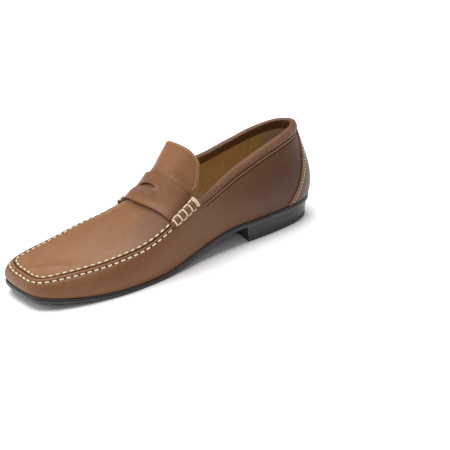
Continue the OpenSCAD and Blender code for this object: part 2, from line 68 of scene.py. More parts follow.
# Sole edge from above: heel back first, then the outer side, the toe and the inner side.
SOLE_EDGE: tuple[Row, ...] = (
    (0, 0), (6, 19), (26, 31), (58, 34.5), (90, 34.5), (118, 34), (146, 35.5), (172, 38.5),
    (198, 40.5), (224, 40), (250, 35.5), (273, 28), (290, 19), (298, 9), (300, -9), (299.5, -27),
    (295, -39.5), (277, -47.5), (251, -52), (225, -55), (199, -55.5), (172, -49.5), (147, -39.5),
    (118, -32), (90, -30.5), (58, -32), (26, -29.5), (6, -18),
)
# Upper edge of the wall over those points: x, y, height, swell low, swell high, lean in degrees.
WALL_TOP: tuple[Row, ...] = (
    (7, 0, 66, 8, 6, 0), (17, 12, 65, 8, 6, 0), (38, 21.5, 64, 7, 6, 0), (64, 26, 60, 7, 6, 2),
    (91, 27.5, 53, 8, 6, 4), (119, 31.5, 47.3, 7, 5, 8), (146, 37, 46, 6, 4, 18),
    (174, 38, 40.5, 5, 5, 36), (200, 34.5, 30.5, 5, 7, 50), (226, 29.5, 25.5, 5, 8, 58),
    (250, 23.5, 21.8, 5, 9, 62), (271, 17.5, 18.6, 5, 8, 65), (286.5, 12, 16.2, 4, 7, 66),
    (291.5, 4, 15.2, 3, 6, 66), (292, -9, 15.3, 3, 6, 66), (291.5, -24, 16, 3, 6, 66),
    (286, -33.5, 17.8, 4, 7, 66), (269, -38.5, 21.5, 5, 8, 65), (247, -42.5, 24.8, 5, 9, 62),
    (224, -45.5, 28, 5, 8, 58), (199, -46.5, 31, 5, 7, 50), (174, -44, 35, 6, 5, 36),
    (149, -35, 39.5, 10, 4, 18), (119, -31.5, 44.5, 12, 4, 8), (91, -28.5, 48, 11, 5, 4),
    (64, -26.5, 53.8, 9, 6, 2), (38, -23, 60, 7, 6, 0), (16.5, -14, 65, 8, 6, 0),
)
# Ridge of the apron from the back of the strap to the toe seam: x, y, height above the welt.
RIDGE: tuple[Row, ...] = (
    (160, 2, 70.5), (177, 0, 50), (202, -4, 37.5), (228, -6.5, 31), (251, -8, 26),
    (272, -8.7, 21), (292, -9, 15.3),
)


def smooth(t: float) -> float:
    """Eases t from 0 to 1, held at both ends."""
    c = min(1.0, max(0.0, t))
    return c * c * (3 - 2 * c)


def mix(a, b, t: float):
    """Blends two numbers or two vectors."""
    return a * (1 - t) + b * t


def bell(x: float, width: float) -> float:
    """A soft bump that is 1 at 0 and fades over the given width."""
    return math.exp(-((x / width) ** 2))


def catmull(a: Row, b: Row, c: Row, d: Row, t: float) -> Row:
    """A smooth curve from b to c, with a and d as its neighbours.

    Args:
        a, b, c, d: Four control rows in order.
        t: Place between b and c, from 0 to 1.

    Returns:
        The row at that place.
    """
    return tuple(
        0.5 * (2 * q + (r - p) * t + (2 * p - 5 * q + 4 * r - s) * t * t + (3 * q - p - 3 * r + s) * t**3)
        for p, q, r, s in zip(a, b, c, d)
    )


def ring_at(table: Sequence[Row], u: float) -> Row:
    """The row at place u of a table that runs all round the shoe."""
    n, i = len(table), math.floor(u)
    return catmull(table[(i - 1) % n], table[i % n], table[(i + 1) % n], table[(i + 2) % n], u - i)


def line_at(table: Sequence[Row], u: float) -> Row:
    """The row at place u of an open table, carried on straight past its ends."""
    n = len(table) - 1
    i = min(max(math.floor(u), 0), n - 1)
    before = table[i - 1] if i > 0 else tuple(2 * a - b for a, b in zip(table[0], table[1]))
    after = table[i + 2] if i + 2 <= n else tuple(2 * a - b for a, b in zip(table[n], table[n - 1]))
    return catmull(before, table[i], table[i + 1], after, u - i)


@dataclass(frozen=True)
class Column:
    """One upright line of the wall: where it starts and ends, and how it curves between."""

    foot: Vector
    top: Vector
    out: Vector
    lean: Vector
    low: Vector
    high: Vector
    length: float


@dataclass
class Last:
    """The form that the shoe is built on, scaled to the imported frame.

    A place round the shoe is u, from 0 at the heel back over the outer side to 14 at the toe
    and on to 28. A place up the wall is t, from 0 at the welt to 1 at the upper edge.
    """

    feather_in: float = 0.0014
    toe_rise: float = 0.009
    outsole_t: float = 0.003
    welt_t: float = 0.0014
    cement: float = 0.0001
    leather_t: float = 0.0015
    lining_t: float = 0.0008
    turns: int = 28
    roll_back: int = 6
    roll_front: int = 7
    corner: int = 12
    toe: int = 14
    back_x: float = field(init=False)
    scale_x: float = field(init=False)
    scale_y: float = field(init=False)
    heel_h: float = field(init=False)
    columns: dict = field(default_factory=dict, init=False)

    def __post_init__(self) -> None:
        """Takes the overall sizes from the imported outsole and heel."""
        low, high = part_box("outsole")
        rows = [ring_at(SOLE_EDGE, i / 12) for i in range(12 * self.turns)]
        xs, ys = [row[0] for row in rows], [row[1] for row in rows]
        self.scale_x = (high.x - low.x) / ((max(xs) - min(xs)) * MM)
        self.scale_y = (high.y - low.y) / ((max(ys) - min(ys)) * MM)
        self.back_x = low.x - min(xs) * MM * self.scale_x
        self.heel_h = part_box("heel_lift_3")[1].z

    @property
    def upper_lift(self) -> float:
        """Height of the welt's top face over the underside of the outsole."""
        return self.outsole_t + self.welt_t

    def plan(self, x: float, y: float) -> Vector:
        """A point of a pattern table, placed in the frame at height 0."""
        return Vector((x * MM * self.scale_x + self.back_x, y * MM * self.scale_y, 0.0))

    def sole_z(self, x: float) -> float:
        """Height of the outsole's underside at x in the frame."""
        along = (x - self.back_x) / self.scale_x / MM
        waist = self.heel_h * (1 - smooth((along - 94) / 100))
        return waist + self.toe_rise * (max(0.0, along - 215) / 85) ** 2

    def welt_z(self, x: float) -> float:
        """Height of the welt's top face at x in the frame."""
        return self.sole_z(x) + self.upper_lift

    def edge(self, u: float) -> Vector:
        """The sole's edge seen from above."""
        return self.plan(*ring_at(SOLE_EDGE, u))

    def out(self, u: float) -> Vector:
        """The level direction that points out of the shoe at u."""
        step = self.edge(u + 0.05) - self.edge(u - 0.05)
        return Vector((-step.y, step.x, 0.0)).normalized()

    def inset(self, u: float, depth: float) -> Vector:
        """A point inside the sole's edge."""
        return self.edge(u) - self.out(u) * depth

    def middle(self, u: float) -> Vector:
        """The point of the sole's centre line that belongs to u."""
        a, b = self.edge(u), self.edge(self.turns - u)
        x = min(max((a.x + b.x) / 2, self.plan(30, 0).x), self.plan(262, 0).x)
        return Vector((x, (a.y + b.y) / 2, 0.0))

    def on_sole(self, u: float, depth: float, height: float, share: float = 0.0) -> Vector:
        """A point on or in the sole.

        Args:
            u: Place round the shoe.
            depth: Distance in from the sole's edge.
            height: Height over the outsole's underside.
            share: How far the point then goes towards the centre line, from 0 to 1.

        Returns:
            The point in the frame.
        """
        p = mix(self.inset(u, depth), self.middle(u), share)
        p.z = self.sole_z(p.x) + height
        return p

    def top(self, u: float) -> Vector:
        """The wall's upper edge."""
        row = ring_at(WALL_TOP, u)
        p = self.plan(row[0], row[1])
        p.z = self.welt_z(p.x) + row[2] * MM
        return p

    def column(self, u: float) -> Column:
        """The wall's upright line at u, kept for the next call."""
        key = round(u, 6)
        if key not in self.columns:
            row = ring_at(WALL_TOP, u)
            out, top = self.out(u), self.top(u)
            foot = self.on_sole(u, self.feather_in, self.upper_lift + self.cement)
            height = top.z - foot.z
            slope = math.radians(row[5])
            self.columns[key] = Column(
                foot=foot,
                top=top,
                out=out,
                lean=out * math.cos(slope) + UP * math.sin(slope),
                low=foot + out * row[3] * MM + UP * 0.36 * height,
                high=top + out * row[4] * MM - UP * 0.3 * height * (1 - row[5] / 85),
                length=1.04 * (top - foot).length,
            )
        return self.columns[key]

    def wall(self, u: float, t: float, off: float = 0.0) -> Vector:
        """A point on the wall of the upper, moved outwards by off."""
        c, s = self.column(u), 1 - t
        curve = c.foot * s**3 + c.low * 3 * s * s * t + c.high * 3 * s * t * t + c.top * t**3
        return curve + self.wall_normal(u, t) * off

    def wall_normal(self, u: float, t: float) -> Vector:
        """The direction that points out of the wall."""
        c = self.column(u)
        return mix(c.out, c.lean, t * t).normalized()

    def drop(self, u: float, distance: float) -> float:
        """The place t on the wall at a distance below its upper edge."""
        return 1 - distance / self.column(u).length

    def gap_to(self, u: float, centre: float) -> float:
        """How far u is from another place round the shoe, the short way."""
        d = abs((u - centre) % self.turns)
        return min(d, self.turns - d)

    # The apron is the patch between the two seams: v runs from the back of the strap to the
    # toe, and q from 1 at the outer seam to -1 at the inner one.
    def side(self, v: float, q: float) -> float:
        """The place round the shoe where the apron's line v meets the seam on q's side."""
        reach = self.roll_back + v * (self.corner - self.roll_back)
        return reach if q > 0 else self.turns - reach

    def ridge(self, v: float) -> Vector:
        """The apron's ridge line."""
        row = line_at(RIDGE, v * (len(RIDGE) - 1))
        p = self.plan(row[0], row[1])
        p.z = self.welt_z(p.x) + row[2] * MM
        return p

    def section(self, v: float, q: float) -> Vector:
        """A point on the arch across the instep."""
        outer, inner = self.top(self.side(v, 1)), self.top(self.side(v, -1))
        arch = (1 - q * q) * (1 + mix(0.45, 0.1, v) * q * q)
        return mix(inner, outer, (1 + q) / 2) + (self.ridge(v) - (outer + inner) / 2) * arch

    def toe_line(self, q: float) -> float:
        """The place round the shoe that the apron's front edge meets at q."""
        return self.corner + (1 - q) * (self.toe - self.corner)

    def apron_normal(self, v: float, q: float) -> Vector:
        """The direction that points out of the apron."""
        a, b = self.ridge(max(0.0, v - 0.03)), self.ridge(min(1.0, v + 0.03))
        crest = Vector((a.z - b.z, 0.0, b.x - a.x)).normalized()
        flank = self.column(self.side(v, 1 if q >= 0 else -1)).lean
        ahead = self.column(self.toe_line(max(-1.0, min(1.0, q)))).lean
        return mix(mix(crest, flank, abs(q)), ahead, max(0.0, v) ** 6).normalized()

    def apron(self, v: float, q: float, off: float = 0.0) -> Vector:
        """A point on the apron, moved outwards by off."""
        pull = (self.top(self.toe_line(q)) - self.section(1.0, q)) * max(0.0, v) ** 4
        return self.section(v, q) + pull + self.apron_normal(v, q) * off

    def half_width(self, v: float) -> float:
        """Half the arc across the apron at v."""
        return 0.53 * (self.top(self.side(v, 1)) - self.top(self.side(v, -1))).length

    def toe_reach(self, q: float) -> float:
        """Length of the apron's last stretch for each unit of v."""
        return (self.apron(1.0, q) - self.apron(0.96, q)).length / 0.04


def even_us(start: float, end: float, per_turn: int) -> list[float]:
    """Places round the shoe from start to end, with per_turn of them between two table rows."""
    count = max(1, round((end - start) * per_turn))
    return [start + (end - start) * i / count for i in range(count + 1)]


def span(a: float, b: float, count: int) -> list[float]:
    """count + 1 even values from a to b."""
    return [a + (b - a) * i / count for i in range(count + 1)]


# ---------------------------------------------------------------- mesh work


def lay_grid(
    columns: int, rows: int, place: Callable[[int, int], Vector],
    tone: Optional[Callable[[int, int, Vector], float]] = None,
) -> bmesh.types.BMesh:
    """A grid whose crossings are laid on a form.

    Args:
        columns: Cells one way.
        rows: Cells the other way.
        place: Gives the point for a crossing's two numbers.
        tone: Gives how dark or pale the colour is made there, from -1 (pale) over 0 to 1 (dark): painted
            shade and painted highlights, with some of the leather's own tone.

    Returns:
        The open grid, with its map from 0 to 1 each way.
    """
    bm = bmesh.new()
    bm.loops.layers.uv.new("map")
    shade = bm.verts.layers.float.new("tone")
    bmesh.ops.create_grid(bm, x_segments=columns, y_segments=rows, size=0.5, calc_uvs=True)
    for vert in bm.verts:
        i, j = round((vert.co.x + 0.5) * columns), round((vert.co.y + 0.5) * rows)
        vert.co = place(i, j)
        if tone is not None:
            vert[shade] = tone(i, j, vert.co)
    return bm


def stretch_map(bm: bmesh.types.BMesh, across: float, up: float) -> None:
    """Scales the piece's map so that it is in metres."""
    layer = bm.loops.layers.uv.active
    for face in bm.faces:
        for loop in face.loops:
            loop[layer].uv = (loop[layer].uv.x * across, loop[layer].uv.y * up)


def close_shell(bm: bmesh.types.BMesh) -> None:
    """Joins what touches, fills open ends and turns every face outwards."""
    bmesh.ops.remove_doubles(bm, verts=bm.verts[:], dist=2e-6)
    bmesh.ops.dissolve_degenerate(bm, edges=bm.edges[:], dist=1e-6)
    rim = [e for e in bm.edges if e.is_boundary]
    if rim:
        bmesh.ops.holes_fill(bm, edges=rim, sides=0)
    bmesh.ops.recalc_face_normals(bm, faces=bm.faces[:])


def loop_shell(
    us: Sequence[float], profile: Sequence, place: Callable[[float, object], Vector],
    tone: Optional[Callable[[float, object, Vector], float]] = None,
) -> bmesh.types.BMesh:
    """A closed skin that carries a closed profile along a run of places.

    Args:
        us: The places, in order.
        profile: The profile's points, in order, without the first again at the end.
        place: Gives the point in the frame for a place and a profile point.
        tone: Gives how dark or pale the colour is made there, painted shade and painted highlights included.

    Returns:
        The closed skin.
    """
    n, m = len(us), len(profile)
    tone_and_painted_light = None if tone is None else (lambda i, j, p: tone(us[i], profile[j % m], p))
    bm = lay_grid(n - 1, m, lambda i, j: place(us[i], profile[j % m]), tone_and_painted_light)
    stretch_map(bm, 0.3, 0.1)
    close_shell(bm)
    return bm


def thick_patch(bm: bmesh.types.BMesh, thickness: float, round_off: float = 0.3, segments: int = 3) -> None:
    """Gives an open patch its thickness inwards and rounds its cut edges.

    Args:
        bm: The patch, with its faces pointing outwards.
        thickness: Thickness of the leather.
        round_off: Radius of the rounding, as a share of the thickness.
        segments: Steps in the rounding.
    """
    before = set(bm.faces)
    bmesh.ops.solidify(bm, geom=bm.faces[:], thickness=thickness)
    rim = [f for f in bm.faces if f not in before]
    bmesh.ops.recalc_face_normals(bm, faces=bm.faces[:])
    bm.normal_update()
    corners = [
        e for e in bm.edges if len(e.link_faces) == 2 and e.calc_face_angle(0.0) > math.radians(50)
    ]
    if corners and rim:
        bmesh.ops.bevel(
            bm, geom=corners, offset=thickness * round_off, offset_type="OFFSET", segments=segments,
            profile=0.5, affect="EDGES", material=-1, clamp_overlap=True,
        )


def put_frame(at: Vector, along: Vector, normal: Vector) -> Matrix:
    """A turn and a shift that lays X along one direction and Z along a normal."""
    x = along.normalized()
    y = normal.cross(x).normalized()
    z = x.cross(y)
    return Matrix((
        (x.x, y.x, z.x, at.x), (x.y, y.y, z.y, at.y), (x.z, y.z, z.z, at.z), (0, 0, 0, 1),
    ))


@dataclass
class Thread:
    """A sewing thread, seen as the short stitches that lie on the leather."""

    width: float = 0.001
    sides: int = 8
    rings: int = 6
    dip: float = 0.35

    def template(self, length: float) -> bpy.types.Mesh:
        """One stitch along X, with rounded ends that dive into the leather.

        Args:
            length: Length of the stitch from hole to hole.

        Returns:
            A loose mesh of one stitch.
        """
        radius = self.width / 2
        bm = bmesh.new()
        bm.loops.layers.uv.new("map")
        bmesh.ops.create_grid(bm, x_segments=self.rings, y_segments=self.sides, size=0.5, calc_uvs=True)
        for vert in bm.verts:
            along, turn = vert.co.x * 2, (vert.co.y + 0.5) * math.tau
            end = max(0.0, (abs(along) * length / 2 - (length / 2 - radius)) / radius)
            r = radius * math.sqrt(max(0.0, 1 - min(1.0, end) ** 2))
            lift = -self.width * self.dip * abs(along) ** 3
            vert.co = Vector((along * length / 2, r * math.cos(turn), r * math.sin(turn) + lift))
        stretch_map(bm, length / self.width, 1.0)
        bmesh.ops.remove_doubles(bm, verts=bm.verts[:], dist=1e-6)
        bmesh.ops.recalc_face_normals(bm, faces=bm.faces[:])
        mesh = bpy.data.meshes.new("stitch")
        bm.to_mesh(mesh)
        bm.free()
        return mesh

    def sew(self, bm: bmesh.types.BMesh, places: Iterable[Matrix], length: float) -> None:
        """Adds one stitch to a bmesh at each place."""
        mesh = self.template(length)
        for place in places:
            start = len(bm.verts)
            bm.from_mesh(mesh)
            bm.verts.ensure_lookup_table()
            bmesh.ops.transform(bm, matrix=place, verts=bm.verts[start:])
        bpy.data.meshes.remove(mesh)


@dataclass
class Seam:
    """A line of evenly spaced stitches over a surface."""

    points: list[Vector]
    normals: list[Vector]
    pitch: float
    sums: list[float] = field(default_factory=list)

    def __post_init__(self) -> None:
        """Measures the line and fits a whole number of stitches to it."""
        self.sums = [0.0]
        for a, b in zip(self.points, self.points[1:]):
            self.sums.append(self.sums[-1] + (b - a).length)
        self.count = max(1, round(self.sums[-1] / self.pitch))
        self.pitch = self.sums[-1] / self.count

    def at(self, s: float) -> tuple[Vector, Vector]:
        """The point and the normal at a distance along the line."""
        i = next((k for k in range(len(self.sums) - 1) if self.sums[k + 1] >= s), len(self.sums) - 2)
        t = (s - self.sums[i]) / max(1e-9, self.sums[i + 1] - self.sums[i])
        return mix(self.points[i], self.points[i + 1], t), mix(self.normals[i], self.normals[i + 1], t)

    def places(self, share: float, lift: float = 0.0) -> list[Matrix]:
        """One place for each stitch, with X along it."""
        found = []
        for k in range(self.count):
            a, _ = self.at((k + 0.5 - share / 2) * self.pitch)
            b, _ = self.at((k + 0.5 + share / 2) * self.pitch)
            _, n = self.at((k + 0.5) * self.pitch)
            n = n.normalized()
            found.append(put_frame((a + b) / 2 + n * lift, b - a, n))
        return found


# ---------------------------------------------------------------- finishes


class Slot(Enum):
    """The record's material slots."""

    BROWN = "brown_leather"
    BINDING = "binding_leather"
    LINING = "lining_leather"
    SUEDE = "suede"
    EDGE = "edge_leather"
    RUBBER = "heel_rubber"
    CREAM = "cream_thread"
    BROWN_THREAD = "brown_thread"
    STEEL = "steel"
    CORK = "cork"
    BOARD = "fibre_board"
    FOAM = "foam"


class Nodes:
    """A short hand for putting nodes into a tree."""

    def __init__(self, tree: bpy.types.NodeTree) -> None:
        """Keeps the tree and lets nodes be added to it."""
        self.tree = tree

    def add(self, kind: str, inputs: Optional[dict] = None, **settings: object) -> bpy.types.Node:
        """Adds a node.

        Args:
            kind: The node's type, without the ShaderNode prefix.
            inputs: Values or sockets for its inputs, by name or number.
            **settings: Properties of the node.

        Returns:
            The node.
        """
        node = self.tree.nodes.new("ShaderNode" + kind)
        for name, value in settings.items():
            setattr(node, name, value)
        for name, value in (inputs or {}).items():
            if isinstance(value, bpy.types.NodeSocket):
                self.tree.links.new(value, node.inputs[name])
            else:
                node.inputs[name].default_value = value
        return node

    def maths(self, operation: str, *values: object) -> bpy.types.NodeSocket:
        """A Math node's result."""
        return self.add("Math", dict(enumerate(values)), operation=operation).outputs[0]

    def ramp(self, value: bpy.types.NodeSocket, low: float, high: float) -> bpy.types.NodeSocket:
        """Stretches a value from low..high to 0..1, held at both ends."""
        return self.add("MapRange", {"Value": value, "From Min": low, "From Max": high}).outputs[0]

    def mix_colour(self, share: object, a: object, b: object, blend: str = "MIX") -> bpy.types.NodeSocket:
        """A colour between two others."""
        node = self.add("Mix", data_type="RGBA", blend_type=blend)
        for index, value in ((0, share), (6, a), (7, b)):
            if isinstance(value, bpy.types.NodeSocket):
                self.tree.links.new(value, node.inputs[index])
            else:
                is_colour = isinstance(value, tuple) and len(value) == 3
                node.inputs[index].default_value = (*value, 1.0) if is_colour else value
        return node.outputs[2]


def group(
    name: str, inputs: dict[str, float], outputs: dict[str, str]
) -> tuple[bpy.types.NodeTree, Nodes, bpy.types.Node, bpy.types.Node]:
    """Starts a shader node group.

    Args:
        name: The group's name.
        inputs: Its inputs, each with its usual value; a tuple makes a colour.
        outputs: Its outputs, each with its socket type.

    Returns:
        The group, its node helper, its input node and its output node.
    """
    tree = bpy.data.node_groups.new(name, "ShaderNodeTree")
    for label, value in inputs.items():
        kind = "NodeSocketColor" if isinstance(value, tuple) else "NodeSocketFloat"
        socket = tree.interface.new_socket(label, in_out="INPUT", socket_type=kind)
        socket.default_value = (*value, 1.0) if isinstance(value, tuple) else value
    for label, kind in outputs.items():
        tree.interface.new_socket(label, in_out="OUTPUT", socket_type=kind)
    nodes = Nodes(tree)
    return tree, nodes, tree.nodes.new("NodeGroupInput"), tree.nodes.new("NodeGroupOutput")


class Effects:
    """The node groups that more than one finish uses, each built once."""

    def __init__(self) -> None:
        """Builds every group."""
        self.hide = self.hide_grain()
        self.tint = self.colour_drift()
        self.wear = self.rubbed_edges()

    @staticmethod
    def hide_grain() -> bpy.types.NodeTree:
        """Pores, fine wrinkles and slack folds of a hide, as one height."""
        tree, n, inp, out = group(
            "hide_grain", {"Scale": 900.0, "Wrinkle": 0.5, "Slack": 0.3},
            {"Height": "NodeSocketFloat", "Pores": "NodeSocketFloat"},
        )
        where = n.add("TexCoord").outputs["Object"]
        warp = n.add("TexNoise", {"Vector": where, "Scale": 160.0, "Detail": 2.0})
        shifted = n.add("VectorMath", {0: warp.outputs["Color"], "Scale": 0.0016}, operation="SCALE")
        bent = n.add("VectorMath", {0: where, 1: shifted.outputs[0]}, operation="ADD").outputs[0]
        cells = n.add(
            "TexVoronoi", {"Vector": bent, "Scale": inp.outputs["Scale"], "Randomness": 0.9},
            feature="DISTANCE_TO_EDGE",
        )
        pebble = n.ramp(cells.outputs["Distance"], 0.0, 0.35)
        long_way = n.add("Mapping", {"Vector": bent, "Scale": (0.35, 1.0, 1.0), "Rotation": (0, 0, 0.5)})
        lines = n.add(
            "TexNoise", {"Vector": long_way.outputs[0], "Scale": 420.0, "Detail": 3.0, "Roughness": 0.6}
        )
        wrinkle = n.maths("MULTIPLY", n.ramp(lines.outputs[0], 0.3, 0.7), inp.outputs["Wrinkle"])
        slack = n.add("TexNoise", {"Vector": where, "Scale": 55.0, "Detail": 2.0})
        fold = n.maths("MULTIPLY", slack.outputs[0], inp.outputs["Slack"])
        height = n.maths("ADD", n.maths("ADD", pebble, wrinkle), fold)
        tree.links.new(height, out.inputs["Height"])
        tree.links.new(n.maths("SUBTRACT", 1.0, pebble), out.inputs["Pores"])
        return tree

    @staticmethod
    def colour_drift() -> bpy.types.NodeTree:
        """The uneven colour of a dyed surface: cloudy patches and fine flecks."""
        tree, n, inp, out = group(
            "colour_drift",
            {"Base": (0.3, 0.15, 0.08), "Dark": (0.2, 0.1, 0.05), "Light": (0.4, 0.2, 0.1),
             "Cloud": 18.0, "Fleck": 260.0, "Amount": 0.5},
            {"Color": "NodeSocketColor"},
        )
        where = n.add("TexCoord").outputs["Object"]
        cloud = n.add("TexNoise", {"Vector": where, "Scale": inp.outputs["Cloud"], "Detail": 3.0})
        fleck = n.add("TexNoise", {"Vector": where, "Scale": inp.outputs["Fleck"], "Detail": 2.0})
        deep = n.maths("MULTIPLY", n.ramp(cloud.outputs[0], 0.45, 0.75), inp.outputs["Amount"])
        pale = n.maths("MULTIPLY", n.ramp(fleck.outputs[0], 0.5, 0.85), inp.outputs["Amount"])
        first = n.mix_colour(deep, inp.outputs["Base"], inp.outputs["Dark"])
        second = n.mix_colour(pale, first, inp.outputs["Light"])
        tree.links.new(second, out.inputs["Color"])
        return tree

    @staticmethod
    def rubbed_edges() -> bpy.types.NodeTree:
        """A mask of corners and edges where the finish is rubbed thin."""
        tree, n, inp, out = group(
            "rubbed_edges", {"Amount": 0.5, "Break Up": 300.0}, {"Mask": "NodeSocketFloat"}
        )
        where = n.add("TexCoord").outputs["Object"]
        shape = n.add("NewGeometry").outputs["Pointiness"]
        rough = n.add("TexNoise", {"Vector": where, "Scale": inp.outputs["Break Up"], "Detail": 2.0})
        raised = n.ramp(shape, 0.54, 0.66)
        worn = n.maths("MULTIPLY", raised, n.ramp(rough.outputs[0], 0.35, 0.65))
        tree.links.new(n.maths("MULTIPLY", worn, inp.outputs["Amount"]), out.inputs["Mask"])
        return tree


@dataclass(frozen=True)
class Leather:
    """A leather finish: its dye, its grain and its polish."""

    base: Colour
    dark: Colour
    light: Colour
    roughness: float = 0.42
    grain: float = 1100.0
    depth: float = 0.00012
    wrinkle: float = 0.5
    slack: float = 0.6
    drift: float = 0.5
    wear: float = 0.3
    specular: float = 0.5
    streaks: float = 0.0

    def dress(self, name: str, effects: Effects) -> bpy.types.Material:
        """Makes the material.

        Args:
            name: The material's name.
            effects: The shared node groups.

        Returns:
            The material.
        """
        material, n, shader = start_material(name)
        hide = n.add("Group", node_tree=effects.hide)
        for label, value in (("Scale", self.grain), ("Wrinkle", self.wrinkle), ("Slack", self.slack)):
            hide.inputs[label].default_value = value
        tint = n.add("Group", node_tree=effects.tint)
        for label, value in (("Base", self.base), ("Dark", self.dark), ("Light", self.light)):
            tint.inputs[label].default_value = (*value, 1.0)
        tint.inputs["Amount"].default_value = self.drift
        wear = n.add("Group", node_tree=effects.wear)
        wear.inputs["Amount"].default_value = self.wear
        colour = n.mix_colour(wear.outputs[0], tint.outputs[0], self.light)
        # The tone attribute paints shade (towards the dark colour) and highlights (towards the light colour)
        # into the leather, with some of its own tone.
        tone = n.add("Attribute", attribute_name="tone", attribute_type="GEOMETRY").outputs["Fac"]
        colour = n.mix_colour(n.ramp(tone, 0.0, 1.0), colour, self.dark)
        colour = n.mix_colour(n.ramp(tone, 0.0, -1.0), colour, self.light)
        if self.streaks > 0:
            where = n.add("TexCoord").outputs["Object"]
            upright = n.add("Mapping", {"Vector": where, "Scale": (1.0, 1.0, 0.05)})
            lines = n.add("TexNoise", {"Vector": upright.outputs[0], "Scale": 700.0, "Detail": 3.0})
            share = n.maths("MULTIPLY", n.ramp(lines.outputs[0], 0.45, 0.7), self.streaks)
            colour = n.mix_colour(share, colour, self.dark)
        pores = n.maths("MULTIPLY", hide.outputs["Pores"], 0.12)
        colour = n.mix_colour(pores, colour, self.dark)
        gloss = n.maths("MULTIPLY_ADD", hide.outputs["Pores"], 0.12, self.roughness - 0.03)
        bump = n.add("Bump", {"Height": hide.outputs["Height"], "Strength": 1.0, "Distance": self.depth})
        connect(material, shader, {"Base Color": colour, "Roughness": gloss, "Normal": bump.outputs[0]})
        shader.inputs["Specular IOR Level"].default_value = self.specular
        return material


@dataclass(frozen=True)
class Nap:
    """Brushed suede: short soft fibres that catch the light at a slant."""

    base: Colour
    dark: Colour
    light: Colour
    depth: float = 0.0003

    def dress(self, name: str, effects: Effects) -> bpy.types.Material:
        """Makes the material."""
        material, n, shader = start_material(name)
        where = n.add("TexCoord").outputs["Object"]
        fibre = n.add("TexNoise", {"Vector": where, "Scale": 1600.0, "Detail": 4.0, "Roughness": 0.7})
        tint = n.add("Group", node_tree=effects.tint)
        for label, value in (("Base", self.base), ("Dark", self.dark), ("Light", self.light)):
            tint.inputs[label].default_value = (*value, 1.0)
        tint.inputs["Cloud"].default_value = 60.0
        colour = n.mix_colour(n.ramp(fibre.outputs[0], 0.4, 0.7), tint.outputs[0], self.light)
        bump = n.add("Bump", {"Height": fibre.outputs[0], "Strength": 1.0, "Distance": self.depth})
        connect(material, shader, {"Base Color": colour, "Normal": bump.outputs[0]})
        shader.inputs["Roughness"].default_value = 0.95
        shader.inputs["Sheen Weight"].default_value = 0.35
        shader.inputs["Sheen Roughness"].default_value = 0.6
        return material


@dataclass(frozen=True)
class Twist:
    """Waxed sewing thread, laid up from two plies."""

    base: Colour
    dark: Colour
    roughness: float = 0.6
    plies: float = 1.4

    def dress(self, name: str, effects: Effects) -> bpy.types.Material:
        """Makes the material; the plies follow each stitch's own map."""
        material, n, shader = start_material(name)
        where = n.add("UVMap", uv_map="map").outputs[0]
        parts = n.add("SeparateXYZ", {0: where})
        along = n.maths("MULTIPLY", parts.outputs[0], self.plies)
        turn = n.maths("ADD", along, n.maths("MULTIPLY", parts.outputs[1], 2.0))
        wave = n.maths("ABSOLUTE", n.maths("SINE", n.maths("MULTIPLY", turn, math.pi)))
        here = n.add("TexCoord").outputs["Object"]
        soil = n.add("TexNoise", {"Vector": here, "Scale": 900.0, "Detail": 3.0})
        # Painted shade in the grooves between the plies.
        colour = n.mix_colour(n.maths("MULTIPLY", n.ramp(wave, 0.55, 0.0), 0.75), self.base, self.dark)
        soiled = n.maths("MULTIPLY", n.ramp(soil.outputs[0], 0.5, 0.8), 0.35)
        colour = n.mix_colour(soiled, colour, self.dark)
        bump = n.add("Bump", {"Height": wave, "Strength": 0.8, "Distance": 0.0002})
        connect(material, shader, {"Base Color": colour, "Normal": bump.outputs[0]})
        shader.inputs["Roughness"].default_value = self.roughness
        shader.inputs["Sheen Weight"].default_value = 0.15
        return material


@dataclass(frozen=True)
class Solid:
    """A plain workshop material, such as rubber, steel, cork, board or foam."""

    base: Colour
    dark: Colour
    light: Colour
    roughness: float = 0.6
    metallic: float = 0.0
    grain: float = 500.0
    depth: float = 0.0001
    wear: float = 0.2
    cells: bool = False

    def dress(self, name: str, effects: Effects) -> bpy.types.Material:
        """Makes the material."""
        material, n, shader = start_material(name)
        where = n.add("TexCoord").outputs["Object"]
        tint = n.add("Group", node_tree=effects.tint)
        for label, value in (("Base", self.base), ("Dark", self.dark), ("Light", self.light)):
            tint.inputs[label].default_value = (*value, 1.0)
        tint.inputs["Fleck"].default_value = self.grain
        wear = n.add("Group", node_tree=effects.wear)
        wear.inputs["Amount"].default_value = self.wear
        colour = n.mix_colour(wear.outputs[0], tint.outputs[0], self.light)
        if self.cells:
            bits = n.add("TexVoronoi", {"Vector": where, "Scale": self.grain})
            colour = n.mix_colour(n.ramp(bits.outputs["Distance"], 0.2, 0.7), colour, self.dark)
            height = bits.outputs["Distance"]
        else:
            height = n.add("TexNoise", {"Vector": where, "Scale": self.grain, "Detail": 4.0}).outputs[0]
        gloss = n.maths("MULTIPLY_ADD", height, 0.15, self.roughness - 0.07)
        bump = n.add("Bump", {"Height": height, "Strength": 0.6, "Distance": self.depth})
        connect(material, shader, {"Base Color": colour, "Roughness": gloss, "Normal": bump.outputs[0]})
        shader.inputs["Metallic"].default_value = self.metallic
        return material


def start_material(name: str) -> tuple[bpy.types.Material, Nodes, bpy.types.Node]:
    """An empty node material with its shader.

    Args:
        name: The material's name.

    Returns:
        The material, its node helper and its Principled BSDF.
    """
    material = bpy.data.materials.new(name)
    material.use_nodes = True
    nodes = Nodes(material.node_tree)
    return material, nodes, material.node_tree.nodes["Principled BSDF"]


def connect(material: bpy.types.Material, shader: bpy.types.Node, sockets: dict) -> None:
    """Links sockets to the shader's inputs by name."""
    for name, socket in sockets.items():
        material.node_tree.links.new(socket, shader.inputs[name])


